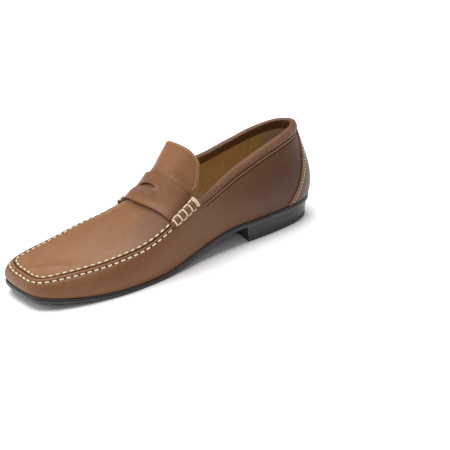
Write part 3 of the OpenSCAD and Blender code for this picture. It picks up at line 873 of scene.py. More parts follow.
class Finishes:
    """Every material of the shoe, by slot, and the pale raw edge of cut leather."""

    def __init__(self) -> None:
        """Mixes the dyes and dresses each slot."""
        effects = Effects()
        brown = dict(base=(0.215, 0.091, 0.034), dark=(0.052, 0.016, 0.004), light=(0.37, 0.20, 0.105))
        recipes = {
            Slot.BROWN: Leather(
                **brown, roughness=0.34, drift=0.2, wear=0.1, specular=0.27, depth=0.00009,
            ),
            Slot.BINDING: Leather(
                base=(0.145, 0.058, 0.024), dark=(0.045, 0.017, 0.008), light=(0.34, 0.185, 0.105),
                roughness=0.36, grain=1500.0, wrinkle=0.8, wear=0.2, drift=0.25, specular=0.3,
            ),
            Slot.LINING: Leather(
                base=(0.47, 0.305, 0.112), dark=(0.29, 0.17, 0.058), light=(0.58, 0.41, 0.19),
                roughness=0.62, grain=900.0, depth=0.0001, drift=0.6, wear=0.2, streaks=0.45,
            ),
            Slot.SUEDE: Nap(base=(0.30, 0.21, 0.13), dark=(0.20, 0.13, 0.08), light=(0.42, 0.31, 0.21)),
            Slot.EDGE: Solid(
                base=(0.015, 0.015, 0.016), dark=(0.009, 0.009, 0.010), light=(0.04, 0.038, 0.037),
                roughness=0.30, grain=700.0, depth=0.00005, wear=0.15,
            ),
            Slot.RUBBER: Solid(
                base=(0.018, 0.018, 0.019), dark=(0.010, 0.010, 0.011), light=(0.05, 0.05, 0.05),
                roughness=0.5, grain=900.0, depth=0.00005, wear=0.15,
            ),
            Slot.CREAM: Twist(base=(0.80, 0.69, 0.48), dark=(0.34, 0.23, 0.13)),
            Slot.BROWN_THREAD: Twist(base=(0.50, 0.31, 0.19), dark=(0.13, 0.06, 0.035)),
            Slot.STEEL: Solid(
                base=(0.5, 0.5, 0.51), dark=(0.38, 0.38, 0.40), light=(0.62, 0.62, 0.62),
                roughness=0.35, metallic=1.0, grain=1200.0, depth=0.00003,
            ),
            Slot.CORK: Solid(
                base=(0.40, 0.24, 0.12), dark=(0.16, 0.08, 0.04), light=(0.55, 0.38, 0.22),
                roughness=0.9, grain=450.0, depth=0.0004, cells=True,
            ),
            Slot.BOARD: Solid(
                base=(0.45, 0.33, 0.22), dark=(0.30, 0.20, 0.12), light=(0.58, 0.46, 0.33),
                roughness=0.85, grain=1400.0,
            ),
            Slot.FOAM: Solid(
                base=(0.66, 0.60, 0.44), dark=(0.50, 0.44, 0.30), light=(0.76, 0.72, 0.58),
                roughness=0.95, grain=1800.0, depth=0.0003, cells=True,
            ),
        }
        self.materials = {slot: recipe.dress(slot.value, effects) for slot, recipe in recipes.items()}
        self.raw_edge = Leather(
            base=(0.46, 0.31, 0.19), dark=(0.25, 0.15, 0.08), light=(0.62, 0.45, 0.30),
            roughness=0.7,
        ).dress("raw_leather_edge", effects)

    def __getitem__(self, slot: Slot) -> bpy.types.Material:
        """The material of a slot."""
        return self.materials[slot]


# ---------------------------------------------------------------- pieces


class Body(Enum):
    """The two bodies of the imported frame."""

    SHOE = "shoe"
    TONGUE = "tongue"


@dataclass
class Bench:
    """The workbench, where a shaped bmesh becomes a finished piece of the shoe."""

    finishes: Finishes
    made: list[str] = field(default_factory=list)

    def finish(
        self, bm: bmesh.types.BMesh, name: str, slot: Slot, stands_for: Sequence[str],
        body: Optional[Body] = Body.SHOE, crease: float = 38.0, extra: Sequence[bpy.types.Material] = (),
    ) -> bpy.types.Object:
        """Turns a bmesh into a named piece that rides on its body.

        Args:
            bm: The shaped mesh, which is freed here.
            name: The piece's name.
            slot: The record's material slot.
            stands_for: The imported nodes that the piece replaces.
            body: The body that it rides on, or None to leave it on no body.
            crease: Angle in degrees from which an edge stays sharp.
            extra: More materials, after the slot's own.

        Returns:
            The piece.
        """
        mesh = bpy.data.meshes.new(name)
        bm.to_mesh(mesh)
        bm.free()
        mesh.shade_smooth()
        mesh.set_sharp_from_angle(angle=math.radians(crease))
        for material in (self.finishes[slot], *extra):
            mesh.materials.append(material)
        piece = bpy.data.objects.new(name, mesh)
        bpy.context.scene.collection.objects.link(piece)
        if body is not None:
            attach(piece, body.value)
        if stands_for:
            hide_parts(*stands_for)
        self.made.append(name)
        LOG.info("%s: %d faces", name, len(mesh.polygons))
        return piece


@dataclass
class Sole:
    """The outsole, the welt, the sole's stitching and what lies between sole and foot."""

    last: Last
    bench: Bench
    per_turn: int = 12
    channel_in: float = 0.007
    channel_depth: float = 0.0006
    lasted: float = 0.0094
    insole_t: float = 0.0022
    pad_t: float = 0.0025
    sock_t: float = 0.001
    stitch_length: float = 0.0055
    stitch_pitch: float = 0.008

    def disc(self, profile: Sequence[Row]) -> bmesh.types.BMesh:
        """A closed slab with the sole's outline.

        Args:
            profile: Rows of share towards the centre, distance in from the edge and height.

        Returns:
            The slab.
        """
        us = even_us(0, self.last.turns, self.per_turn)
        n, m = len(us) - 1, len(profile) - 1

        def place(i: int, j: int) -> Vector:
            share, depth, height = profile[j]
            return self.last.on_sole(us[i] % self.last.turns, depth, height, share)

        bm = lay_grid(n, m, place)
        stretch_map(bm, 0.3, 0.1)
        close_shell(bm)
        return bm

    def outsole(self) -> None:
        """The outsole, with a rounded black edge and a stitching channel underneath."""
        t, c, d = self.last.outsole_t, self.channel_in, self.channel_depth
        under = [(share, self.channel_in + 0.002, 0.0) for share in (1, 0.75, 0.5, 0.25, 0.08)]
        channel = [
            (0, c + 0.0012, 0), (0, c + 0.0007, d * 0.3), (0, c, d),
            (0, c - 0.0007, d * 0.3), (0, c - 0.0012, 0),
        ]
        rim = [
            (0, 0.0025, 0), (0, 0.0007, 0.00002), (0, 0.00025, 0.00025), (0, 0.00005, 0.0006),
            (0, 0, 0.0013), (0, 0.00005, 0.0021), (0, 0.0002, 0.0026), (0, 0.0006, 0.00288), (0, 0.002, t),
        ]
        over = [(share, 0.012, t) for share in (0, 0.5, 1)]
        slab = self.disc(under + channel + rim + over)
        self.bench.finish(slab, "outsole_leather", Slot.EDGE, ["outsole"])

    def welt(self) -> None:
        """The thin welt whose lip shows round the upper."""
        a, b = self.last.outsole_t, self.last.upper_lift
        inner = self.lasted + 0.003
        profile = [
            (inner, b - 0.00005), (0.003, b - 0.00005), (0.0012, b - 0.00002), (0.0006, b - 0.0001),
            (0.0003, b - 0.0004), (0.00022, b - 0.0008), (0.0004, a + 0.0002), (0.0009, a + 0.00002),
            (inner, a),
        ]
        us = even_us(0, self.last.turns, self.per_turn)
        bm = loop_shell(us, profile, lambda u, p: self.last.on_sole(u % self.last.turns, p[0], p[1]))
        self.bench.finish(bm, "welt_strip", Slot.EDGE, ["welt"])

    def stitching(self) -> None:
        """The rows of thread in the outsole's channel and on the insole's edge."""
        bm = bmesh.new()
        us = even_us(5, self.last.turns - 5, 12)
        thread = Thread(width=0.0011)
        on_insole = self.last.upper_lift + 0.0016 + self.insole_t
        for height, sign in ((self.channel_depth * 0.9, -1), (on_insole, 1)):
            points = [self.last.on_sole(u, self.channel_in, height) for u in us]
            seam = Seam(points, [UP * sign] * len(points), self.stitch_pitch)
            thread.sew(bm, seam.places(self.stitch_length / self.stitch_pitch), self.stitch_length)
        self.bench.finish(bm, "sole_thread", Slot.CREAM, ["sole_stitching"])

    def board_profile(self, gap: float, low: float, high: float, soft: float) -> list[Row]:
        """Rows of a slab inside the upper, with rounded edges."""
        depth = self.last.feather_in + self.last.leather_t + self.last.lining_t + gap
        lower = [(share, depth + soft, low) for share in (1, 0.6, 0.25)]
        edge = [
            (0, depth + soft, low), (0, depth + soft * 0.3, low + soft * 0.3),
            (0, depth, (low + high) / 2),
            (0, depth + soft * 0.3, high - soft * 0.3), (0, depth + soft, high),
        ]
        upper = [(share, depth + soft, high) for share in (0.08, 0.16, 0.3, 0.45, 0.6, 0.8, 1)]
        return lower + edge + upper

    def insole(self) -> None:
        """The fibre board that the upper is lasted to."""
        low = self.last.upper_lift + 0.0017
        profile = self.board_profile(0.0014, low, low + self.insole_t, 0.0005)
        self.bench.finish(self.disc(profile), "insole_board", Slot.BOARD, ["insole"])

    def pad_rise(self, x: float) -> float:
        """Thickness of the heel pad at x in the frame."""
        along = (x - self.last.back_x) / self.last.scale_x
        return self.pad_t * (1 - smooth((along - 0.060) / 0.030))

    def heel_pad(self) -> None:
        """The foam pad under the heel, crowned and feathered to nothing at its front."""
        low = self.last.upper_lift + 0.0017 + self.insole_t
        bm = self.disc(self.board_profile(0.0024, low, low + 0.0002, 0.0012))
        bmesh.ops.bisect_plane(
            bm, geom=bm.verts[:] + bm.edges[:] + bm.faces[:], dist=1e-6,
            plane_co=self.last.plan(88, 0), plane_no=(1, 0, 0), clear_outer=True,
        )
        for vert in bm.verts:
            base = self.last.sole_z(vert.co.x) + low
            if vert.co.z > base + 0.0001:
                vert.co.z += self.pad_rise(vert.co.x)
        close_shell(bm)
        self.bench.finish(bm, "heel_cushion", Slot.FOAM, ["heel_pad"])

    def sock_liner(self) -> None:
        """The soft leather that the foot stands on, lifted over the heel pad."""
        low = self.last.upper_lift + 0.0017 + self.insole_t + 0.00005
        bm = self.disc(self.board_profile(0.0016, low, low + self.sock_t, 0.0004))
        for vert in bm.verts:
            vert.co.z += self.pad_rise(vert.co.x)
            vert.co.z += 0.00012 * noise.noise(vert.co * 90.0)
        self.bench.finish(bm, "sock_lining", Slot.LINING, ["sock_liner"])

    def build(self) -> None:
        """Makes the whole sole."""
        self.outsole()
        self.welt()
        self.stitching()
        self.insole()
        self.heel_pad()
        self.sock_liner()


@dataclass
class Heel:
    """The stacked heel: three leather lifts and a rubber top piece."""

    last: Last
    bench: Bench
    back_in: float = 0.0025
    step: float = 0.0005
    hollow: float = 0.0042
    edge_round: float = 0.0004
    around: int = 72
    across: int = 28

    def breast_x(self, z: float) -> float:
        """Where the heel breast stands at a height."""
        low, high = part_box("top_lift")[1].x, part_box("heel_lift_3")[1].x
        return low + (high - low) * z / self.last.heel_h

    def outline(self, inset: float, z: float) -> list[Vector]:
        """The heel's outline at a height: round the back, then along the hollow breast."""
        breast = self.breast_x(z)
        ends = []
        for sign in (1, -1):
            u = 0.0
            while self.last.inset(sign * u % self.last.turns, self.back_in + inset).x < breast:
                u += 0.01
            ends.append(sign * u)
        points = []
        for i in range(self.around + 1):
            u = mix(ends[1], ends[0], i / self.around)
            p = self.last.inset(u % self.last.turns, self.back_in + inset)
            points.append(Vector((min(p.x, breast), p.y, z)))
        first, last = points[-1], points[0]
        for i in range(1, self.across):
            s = i / self.across
            p = mix(first, last, s)
            p.x -= self.hollow * math.sin(math.pi * s) ** 1.2
            points.append(p)
        return points

    def slab(self, low: float, high: float, inset: float) -> bmesh.types.BMesh:
        """One lift with slightly rounded edges."""
        base, top = self.outline(inset, low), self.outline(inset, high)
        bm = bmesh.new()
        made = bmesh.ops.create_circle(bm, cap_ends=True, segments=len(base), radius=1.0)
        ring = sorted(made["verts"], key=lambda v: math.atan2(v.co.y, v.co.x))
        for vert, point in zip(ring, base):
            vert.co = point
        face = bm.faces[:] if len(bm.faces) else []
        raised = bmesh.ops.extrude_face_region(bm, geom=face)
        lifted = [g for g in raised["geom"] if isinstance(g, bmesh.types.BMVert)]
        pairs = {tuple(round(c, 7) for c in b): t for b, t in zip(base, top)}
        for vert in lifted:
            vert.co = pairs[tuple(round(c, 7) for c in vert.co)]
        bmesh.ops.recalc_face_normals(bm, faces=bm.faces[:])
        bm.normal_update()
        rim = [
            e for e in bm.edges
            if e.calc_face_angle(0.0) > math.radians(60) and abs(e.verts[0].co.z - e.verts[1].co.z) < 1e-5
        ]
        bmesh.ops.bevel(
            bm, geom=rim, offset=self.edge_round, offset_type="OFFSET", segments=2, profile=0.5,
            affect="EDGES", material=-1, clamp_overlap=True,
        )
        return bm

    def build(self) -> None:
        """Makes the top piece and the lifts."""
        for node, slot, count in (
            ("top_lift", Slot.RUBBER, 3), ("heel_lift_1", Slot.EDGE, 2),
            ("heel_lift_2", Slot.EDGE, 1), ("heel_lift_3", Slot.EDGE, 0),
        ):
            low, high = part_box(node)
            bm = self.slab(low.z, high.z, count * self.step)
            self.bench.finish(bm, node + "_stack", slot, [node], crease=50)


@dataclass
class Upper:
    """The wall and the apron, sewn together by the raised seam, with the stay over the heel."""

    last: Last
    bench: Bench
    per_turn_back: int = 14
    per_turn_seam: int = 26
    ridge_h: float = 0.0009
    ridge_at: float = 0.0019
    bead_h: float = 0.0004
    bead_at: float = 0.0034
    puff_at: float = 0.0066
    strip_h: float = 0.0003
    line_depth: float = 0.0004
    line_above: float = 0.0016
    line_below: float = 0.0017
    row_out: float = 0.0045
    row_in: float = 0.0018
    pitch: float = 0.006
    outer_length: float = 0.0047
    inner_length: float = 0.0041
    collar_row: float = 0.0083
    creases: tuple[Row, ...] = (
        (0.225, 0.03, 0.0002), (0.26, 0.05, 0.00026), (0.30, 0.07, 0.0003), (0.335, 0.09, 0.00022),
        (0.38, 0.11, 0.00024), (0.44, 0.08, 0.00014), (0.50, 0.05, 0.0001),
    )
    outer_seam: Optional[Seam] = None
    inner_seam: Optional[Seam] = None

    def seam_fade(self, u: float) -> float:
        """1 where the raised seam is, and 0 behind the beefrolls."""
        l = self.last
        return smooth((l.toe - l.roll_front + 0.25 - l.gap_to(u, l.toe)) / 0.35)

    def find_seams(self) -> None:
        """Measures both rows of the seam, so that the leather puckers at their stitches."""
        l = self.last
        us = even_us(l.roll_front + 0.02, l.turns - l.roll_front - 0.02, 16)
        self.seam_us = us
        outer = [l.wall(u, l.drop(u, self.row_out), 0.0) for u in us]
        self.outer_seam = Seam(outer, [l.wall_normal(u, 0.9) for u in us], self.pitch)
        inner, normals = [], []
        for u in us:
            v, q = self.beside(u, self.row_in)
            inner.append(l.apron(v, q, 0.0))
            normals.append(l.apron_normal(v, q))
        self.inner_seam = Seam(inner, normals, self.pitch)

    def beside(self, u: float, distance: float) -> tuple[float, float]:
        """The apron's own coordinates at a distance inside the seam at u."""
        l = self.last
        gap = l.gap_to(u, l.toe)
        v = min(1.0, (l.toe - gap - l.roll_back) / (l.corner - l.roll_back))
        side = 1 if (u % l.turns) < l.toe else -1
        q = side * min(1.0, gap / (l.toe - l.corner))
        room = 1 - distance / l.half_width(v)
        return min(v, 1 - distance / l.toe_reach(max(-room, min(room, q)))), max(-room, min(room, q))

    def phase(self, u: float) -> float:
        """How near u is to a stitch hole: 1 at a hole and 0 at the middle of a stitch."""
        seam, us = self.outer_seam, self.seam_us
        s = (u - us[0]) / (us[-1] - us[0]) * (len(us) - 1)
        i = min(max(int(s), 0), len(us) - 2)
        along = mix(seam.sums[i], seam.sums[i + 1], s - i)
        return 0.5 + 0.5 * math.cos(math.tau * along / seam.pitch)

    def collar_fade(self, u: float) -> float:
        """1 along the topline, and 0 from the beefrolls on."""
        return smooth((self.last.roll_back - 0.1 - self.last.gap_to(u, 0)) / 0.3)

    def wall_relief(self, u: float, distance: float) -> float:
        """Height of the wall's sewn details at a distance below its edge.

        Args:
            u: Place round the shoe.
            distance: Distance below the wall's upper edge.

        Returns:
            The height: the moccasin seam's ridge, groove and puckers in front, and the
            stitched strip under the collar behind.
        """
        fade, collar = self.seam_fade(u), self.collar_fade(u)
        height = 0.0
        if fade > 0:
            hole = self.phase(u)
            ridge = self.ridge_h * bell(distance - self.ridge_at, 0.0011)
            ridge += self.bead_h * bell(distance - self.bead_at, 0.0006)
            groove = -(0.0003 + 0.0006 * hole) * bell(distance - self.row_out, 0.0007)
            puff = (0.00045 - 0.0005 * hole) * bell(distance - self.puff_at, 0.0016)
            gap = -0.0012 * bell(distance, 0.0006)
            height += fade * (ridge + groove + puff + gap)
        if collar > 0:
            row = distance - self.collar_row
            strip = self.strip_h * bell(row, 0.0011)
            lines = bell(row + self.line_above, 0.0004) + bell(row - self.line_below, 0.0004)
            height += collar * (strip - self.line_depth * lines)
        return height

    def wall_tone_and_painted_light(self, u: float, distance: float, p: Vector) -> float:
        """How dark the wall's colour is: darker towards the heel and at mid height, with painted shade in the
        seam's gap, its stitch holes and the collar's grooves, and painted highlights on the seam's ridge and
        the collar's strip.
        """
        l = self.last
        along = (p.x - l.back_x) / (0.3 * l.scale_x)
        height = (p.z - l.welt_z(p.x)) / 0.05
        tone = 0.16 + 0.66 * smooth((0.62 - along) / 0.55) + 0.18 * bell(height - 0.55, 0.35)
        fade, collar = self.seam_fade(u), self.collar_fade(u)
        if fade > 0:
            hole = self.phase(u)
            # Painted shade in the gap at the seam and in the stitch holes, and a painted highlight on the
            # seam's ridge.
            tone += fade * 0.75 * bell(distance, 0.0007)
            tone += fade * (0.1 + 0.6 * hole) * bell(distance - self.row_out, 0.0008)
            tone -= fade * 0.3 * bell(distance - 0.002, 0.0005)
        if collar > 0:
            row = distance - self.collar_row
            # Painted shade in the collar's two grooves and a painted highlight on the raised strip between
            # them.
            tone += collar * 0.8 * (bell(row + self.line_above, 0.0004) + bell(row - self.line_below, 0.0005))
            tone -= collar * 0.45 * bell(row, 0.0008)
        return min(1.0, max(-1.0, tone))

    def slack(self, p: Vector) -> float:
        """The soft unevenness of leather that has been pulled over a last."""
        return 0.00022 * noise.noise(p * 38.0) + 0.00008 * noise.noise(p * 110.0)

    def wall(self) -> None:
        """The one-piece wall of the upper, turned in under the foot."""
        l = self.last
        near = [d * MM for d in (
            0, 0.3, 0.6, 1, 1.4, 1.7, 2, 2.3, 2.7, 3.1, 3.4, 3.8, 4.2, 4.5, 4.8, 5.2, 5.8, 6.3, 6.7, 7.1,
            7.7, 8.3, 8.9, 9.5, 10, 10.4, 11, 12,
        )]
        rest = span(1, 0, 20)[1:]
        profile = [("near", d) for d in near] + [("rest", r) for r in rest]
        profile += [("under", d) for d in (0.002, 0.008)]
        profile += [("back_under", d) for d in (0.008, 0.002)]
        profile += [("inner", t) for t in (0.0, 0.15, 0.3, 0.5, 0.7, 0.85, 0.95, 1.0)]
        thick = l.leather_t

        def place(u: float, row: tuple[str, float]) -> Vector:
            kind, value = row
            if kind == "near":
                p = l.wall(u, l.drop(u, value), self.wall_relief(u, value))
                return p + l.wall_normal(u, 1) * self.slack(p)
            if kind == "rest":
                t = l.drop(u, near[-1]) * value
                p = l.wall(u, t, self.wall_relief(u, (1 - t) * l.column(u).length))
                return p + l.wall_normal(u, t) * self.slack(p) * smooth(value * 6)
            if kind == "under":
                return l.on_sole(u, l.feather_in + value, l.upper_lift + l.cement)
            if kind == "back_under":
                return l.on_sole(u, l.feather_in + value, l.upper_lift + l.cement + thick)
            if value == 0.0:
                return l.on_sole(u, l.feather_in + thick, l.upper_lift + l.cement + thick)
            return l.wall(u, value, -thick)

        def tone(u: float, row: tuple[str, float], p: Vector) -> float:
            kind, value = row
            if kind == "near":
                return self.wall_tone_and_painted_light(u, value, p)
            if kind == "rest":
                return self.wall_tone_and_painted_light(u, (1 - l.drop(u, near[-1]) * value) * l.column(u).length, p)
            return 0.3

        back = even_us(-l.roll_front, l.roll_front, self.per_turn_back)
        front = even_us(l.roll_front, l.turns - l.roll_front, self.per_turn_seam)
        us = [u % l.turns for u in back] + front[1:]
        us[-1] = us[0]
        self.bench.finish(loop_shell(us, profile, place, tone), "upper_wall", Slot.BROWN, ["vamp_wall"])

    def apron_relief(self, v: float, q: float) -> float:
        """Height of the apron's rounded edge, stitch groove and creases."""
        l = self.last
        side = (1 - abs(q)) * l.half_width(v)
        ahead = (1 - v) * self.reach(q)
        k = 0.0012
        edge = -k * math.log(math.exp(-side / k) + math.exp(-ahead / k))
        lip = -0.0012 * bell(max(0.0, edge), 0.0007)
        swell = 0.00045 * bell(edge - 0.0012, 0.0012) - 0.00035 * bell(edge - self.row_in, 0.0008)
        crease = 0.0
        for centre, tilt, depth in self.creases:
            line = v - centre - tilt * (q + 0.2) ** 2
            crease -= depth * bell(line, 0.005) * max(0.0, 1 - abs(q)) ** 0.5
            crease += 0.5 * depth * bell(line + 0.012, 0.008) * max(0.0, 1 - abs(q)) ** 0.5
        dent = bell(v - 0.93 + 0.25 * abs(q), 0.05) - bell(v - 0.80 + 0.3 * abs(q), 0.10)
        crease += 0.0009 * dent * (1 - q * q)
        crease += 0.0011 * bell(v - 0.52 - 0.2 * q, 0.09) * bell(q + 0.25, 0.4)
        crease -= 0.0008 * bell(v - 0.36, 0.08) * bell(q, 0.5)
        return lip * smooth((v - 0.1) / 0.06) + swell * smooth((v - 0.15) / 0.05) + crease

    def apron_painted_light(self, v: float, q: float) -> float:
        """How dark the apron's colour is painted: painted shade by the strap, in the stitch holes and over
        the edge, and a painted highlight across its middle.
        """
        l = self.last
        side, ahead = (1 - abs(q)) * l.half_width(v), (1 - v) * self.reach(q)
        edge = min(side, ahead)
        # Painted shade beside the strap, deepest on the outer side.
        tone = (0.12 + 0.3 * smooth((q - 0.1) / 0.5)) * smooth((0.5 - v) / 0.25)
        # Painted shade over the edge at the seam and in the stitch holes.
        tone += 0.6 * bell(edge, 0.0006) * smooth((v - 0.15) / 0.05)
        tone += 0.25 * bell(edge - self.row_in, 0.0009) * smooth((v - 0.15) / 0.05)
        # A painted highlight across the middle of the apron.
        return tone - 0.1 * bell(v - 0.6, 0.2) * bell(q, 0.6)

    def reach(self, q: float) -> float:
        """The toe reach at q, kept for the next call."""
        key = round(q, 4)
        if key not in self._reach:
            self._reach[key] = self.last.toe_reach(q)
        return self._reach[key]

    def apron(self) -> None:
        """The apron over the toes and the instep, up to its hidden edge under the strap."""
        l = self.last
        self._reach: dict[float, float] = {}
        edge_qs = [1, 0.993, 0.985, 0.975, 0.965, 0.955, 0.945, 0.93, 0.915, 0.895, 0.87, 0.84, 0.8]
        inner_qs = span(0.8, -0.8, 32)[1:-1]
        qs = edge_qs + inner_qs + [-q for q in reversed(edge_qs)]
        vs = span(0.035, 0.9, 110) + [0.9 + 0.1 * (1 - (1 - k / 22) ** 1.4) for k in range(1, 23)]
        bm = lay_grid(
            len(vs) - 1, len(qs) - 1, lambda i, j: self.apron_point(vs[i], qs[j]),
            lambda i, j, p: self.apron_painted_light(vs[i], qs[j]),
        )
        stretch_map(bm, 0.15, 0.09)
        bmesh.ops.recalc_face_normals(bm, faces=bm.faces[:])
        self.face_up(bm)
        thick_patch(bm, l.leather_t, 0.25, 2)
        self.bench.finish(bm, "apron_plug", Slot.BROWN, ["apron"])

    def apron_point(self, v: float, q: float) -> Vector:
        """A point on the apron's dressed surface."""
        p = self.last.apron(v, q, self.apron_relief(v, q))
        return p + self.last.apron_normal(v, q) * self.slack(p) * 1.4

    @staticmethod
    def face_up(bm: bmesh.types.BMesh) -> None:
        """Turns an open patch so that most of it looks up."""
        if sum(f.normal.z * f.calc_area() for f in bm.faces) < 0:
            bmesh.ops.reverse_faces(bm, faces=bm.faces[:])
        bm.normal_update()

    def sew_seam(self) -> None:
        """Both rows of the moccasin seam."""
        thread = Thread(width=0.0013, dip=0.3)
        outer = bmesh.new()
        thread.sew(outer, self.outer_seam.places(self.outer_length / self.pitch, 0.00012), self.outer_length)
        self.bench.finish(outer, "seam_thread_outer", Slot.CREAM, ["seam_stitching_outer"])
        inner = bmesh.new()
        Thread(width=0.0014, dip=0.35).sew(
            inner, self.inner_seam.places(self.inner_length / self.pitch, 0.00035), self.inner_length
        )
        self.bench.finish(inner, "seam_thread_inner", Slot.CREAM, ["seam_stitching_inner"])

    def stay_half(self, k: float) -> float:
        """Half the back stay's width, in places round the shoe, from the sole at 0 to its top at 1."""
        return mix(2.5, 0.42, k**1.15)

    def back_stay(self) -> None:
        """The strip over the back seam, with its pale cut edge and a row of stitches."""
        l = self.last
        across, up = 60, 40

        def point(i: int, j: int) -> Vector:
            k = j / up
            u = (i / across * 2 - 1) * self.stay_half(k)
            t = mix(0.012, l.drop(u % l.turns, 0.0072), k)
            return l.wall(u % l.turns, t, 0.0013)

        def tone(i: int, j: int, p: Vector) -> float:
            return 0.8 - 1.0 * smooth((abs(i / across * 2 - 1) - 0.985) / 0.012)

        bm = lay_grid(across, up, point, tone)
        stretch_map(bm, 0.05, 0.06)
        bmesh.ops.recalc_face_normals(bm, faces=bm.faces[:])
        if sum(f.normal.x * f.calc_area() for f in bm.faces) > 0:
            bmesh.ops.reverse_faces(bm, faces=bm.faces[:])
        bm.normal_update()
        thick_patch(bm, 0.0011, 0.3, 2)
        for face in bm.faces:
            c = face.calc_center_median()
            if face.calc_area() < 1.2e-6 and face.normal.dot(self.stay_out(c)) < 0.6:
                face.material_index = 1
        self.bench.finish(
            bm, "heel_back_stay", Slot.BROWN, ["back_stay"], extra=[self.bench.finishes.raw_edge],
        )
        rows = bmesh.new()
        for side in (-1, 1):
            points, normals = [], []
            for k in span(0.02, 0.98, 32):
                u = side * (self.stay_half(k) - 0.13) % l.turns
                t = mix(0.012, l.drop(u, 0.0072), k)
                points.append(l.wall(u, t, 0.00142))
                normals.append(l.wall_normal(u, t))
            Thread(width=0.0007).sew(rows, Seam(points, normals, 0.0032).places(0.72), 0.0023)
        self.bench.finish(rows, "back_stay_thread", Slot.CREAM, ["back_stay_stitching"])

    def stay_out(self, p: Vector) -> Vector:
        """The direction out of the heel at a point of the stay."""
        return Vector((p.x - self.last.plan(45, 0).x, p.y, 0.0)).normalized()

    def build(self) -> None:
        """Makes the upper's outer leather and its sewing."""
        self._reach = {}
        self.find_seams()
        self.wall()
        self.apron()
        self.sew_seam()
        self.back_stay()


@dataclass
class Lining:
    """The leather and suede that the foot touches, behind the wall and the apron."""

    last: Last
    bench: Bench
    grip_end: float = 4 / 3
    grip_bow: float = 0.35

    def depth(self, u: float, t: float) -> float:
        """How far inside the wall's face the lining's outer side lies."""
        l = self.last
        heel = smooth((4 - l.gap_to(u, 0)) / 1.2) * smooth((0.72 - t) / 0.3)
        toe = smooth((3 - l.gap_to(u, l.toe)) / 1.2) * smooth((0.9 - t) / 0.3)
        return l.leather_t + 0.0011 * max(heel, toe) + 0.00008

    def panel(
        self, start: float, end: float, bow_start: float, bow_end: float, name: str, slot: Slot, node: str
    ) -> None:
        """One panel of the wall's lining.

        Args:
            start, end: The places round the shoe between which it lies.
            bow_start, bow_end: How far its ends bow at mid height.
            name: The piece's name.
            slot: Its finish.
            node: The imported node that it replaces.
        """
        l = self.last
        columns, rows = max(12, round((end - start) * 10)), 16
        ts = span(0.02, 0.995, rows)

        def point(i: int, j: int) -> Vector:
            s, t = i / columns, ts[j]
            bow = math.sin(math.pi * min(1.0, t * 1.02))
            u = (mix(start + bow_start * bow, end + bow_end * bow, s)) % l.turns
            return l.wall(u, t, -self.depth(u, t) - 0.00002)

        bm = lay_grid(columns, rows, point)
        stretch_map(bm, 0.1, 0.06)
        bmesh.ops.recalc_face_normals(bm, faces=bm.faces[:])
        probe = max(bm.faces, key=lambda f: f.calc_area())
        centre = probe.calc_center_median()
        if probe.normal.dot(Vector((l.plan(150, 0).x, 0, centre.z)) - centre) < 0:
            bmesh.ops.reverse_faces(bm, faces=bm.faces[:])
        bm.normal_update()
        thick_patch(bm, -l.lining_t, 0.25, 2)
        self.bench.finish(bm, name, slot, [node])

    def build(self) -> None:
        """Makes the panels, the suede heel grip and the lining under the apron."""
        l, g, b = self.last, self.grip_end, self.grip_bow
        self.panel(l.roll_back, l.turns - l.roll_back, 0, 0, "forepart_lining", Slot.LINING, "vamp_lining")
        self.panel(g, l.roll_back, b, 0, "quarter_lining_outer", Slot.LINING, "quarter_lining_lateral")
        self.panel(
            l.turns - l.roll_back, l.turns - g, 0, -b,
            "quarter_lining_inner", Slot.LINING, "quarter_lining_medial",
        )
        self.panel(l.turns - g, l.turns + g, -b, b, "suede_heel_grip", Slot.SUEDE, "heel_grip")
        vs, qs = span(0.0, 0.985, 60), span(0.97, -0.97, 36)
        bm = lay_grid(len(vs) - 1, len(qs) - 1, lambda i, j: l.apron(vs[i], qs[j], -l.leather_t - 0.00006))
        stretch_map(bm, 0.15, 0.09)
        bmesh.ops.recalc_face_normals(bm, faces=bm.faces[:])
        Upper.face_up(bm)
        thick_patch(bm, l.lining_t, 0.25, 2)
        self.bench.finish(bm, "apron_lining_skin", Slot.LINING, ["apron_lining"])


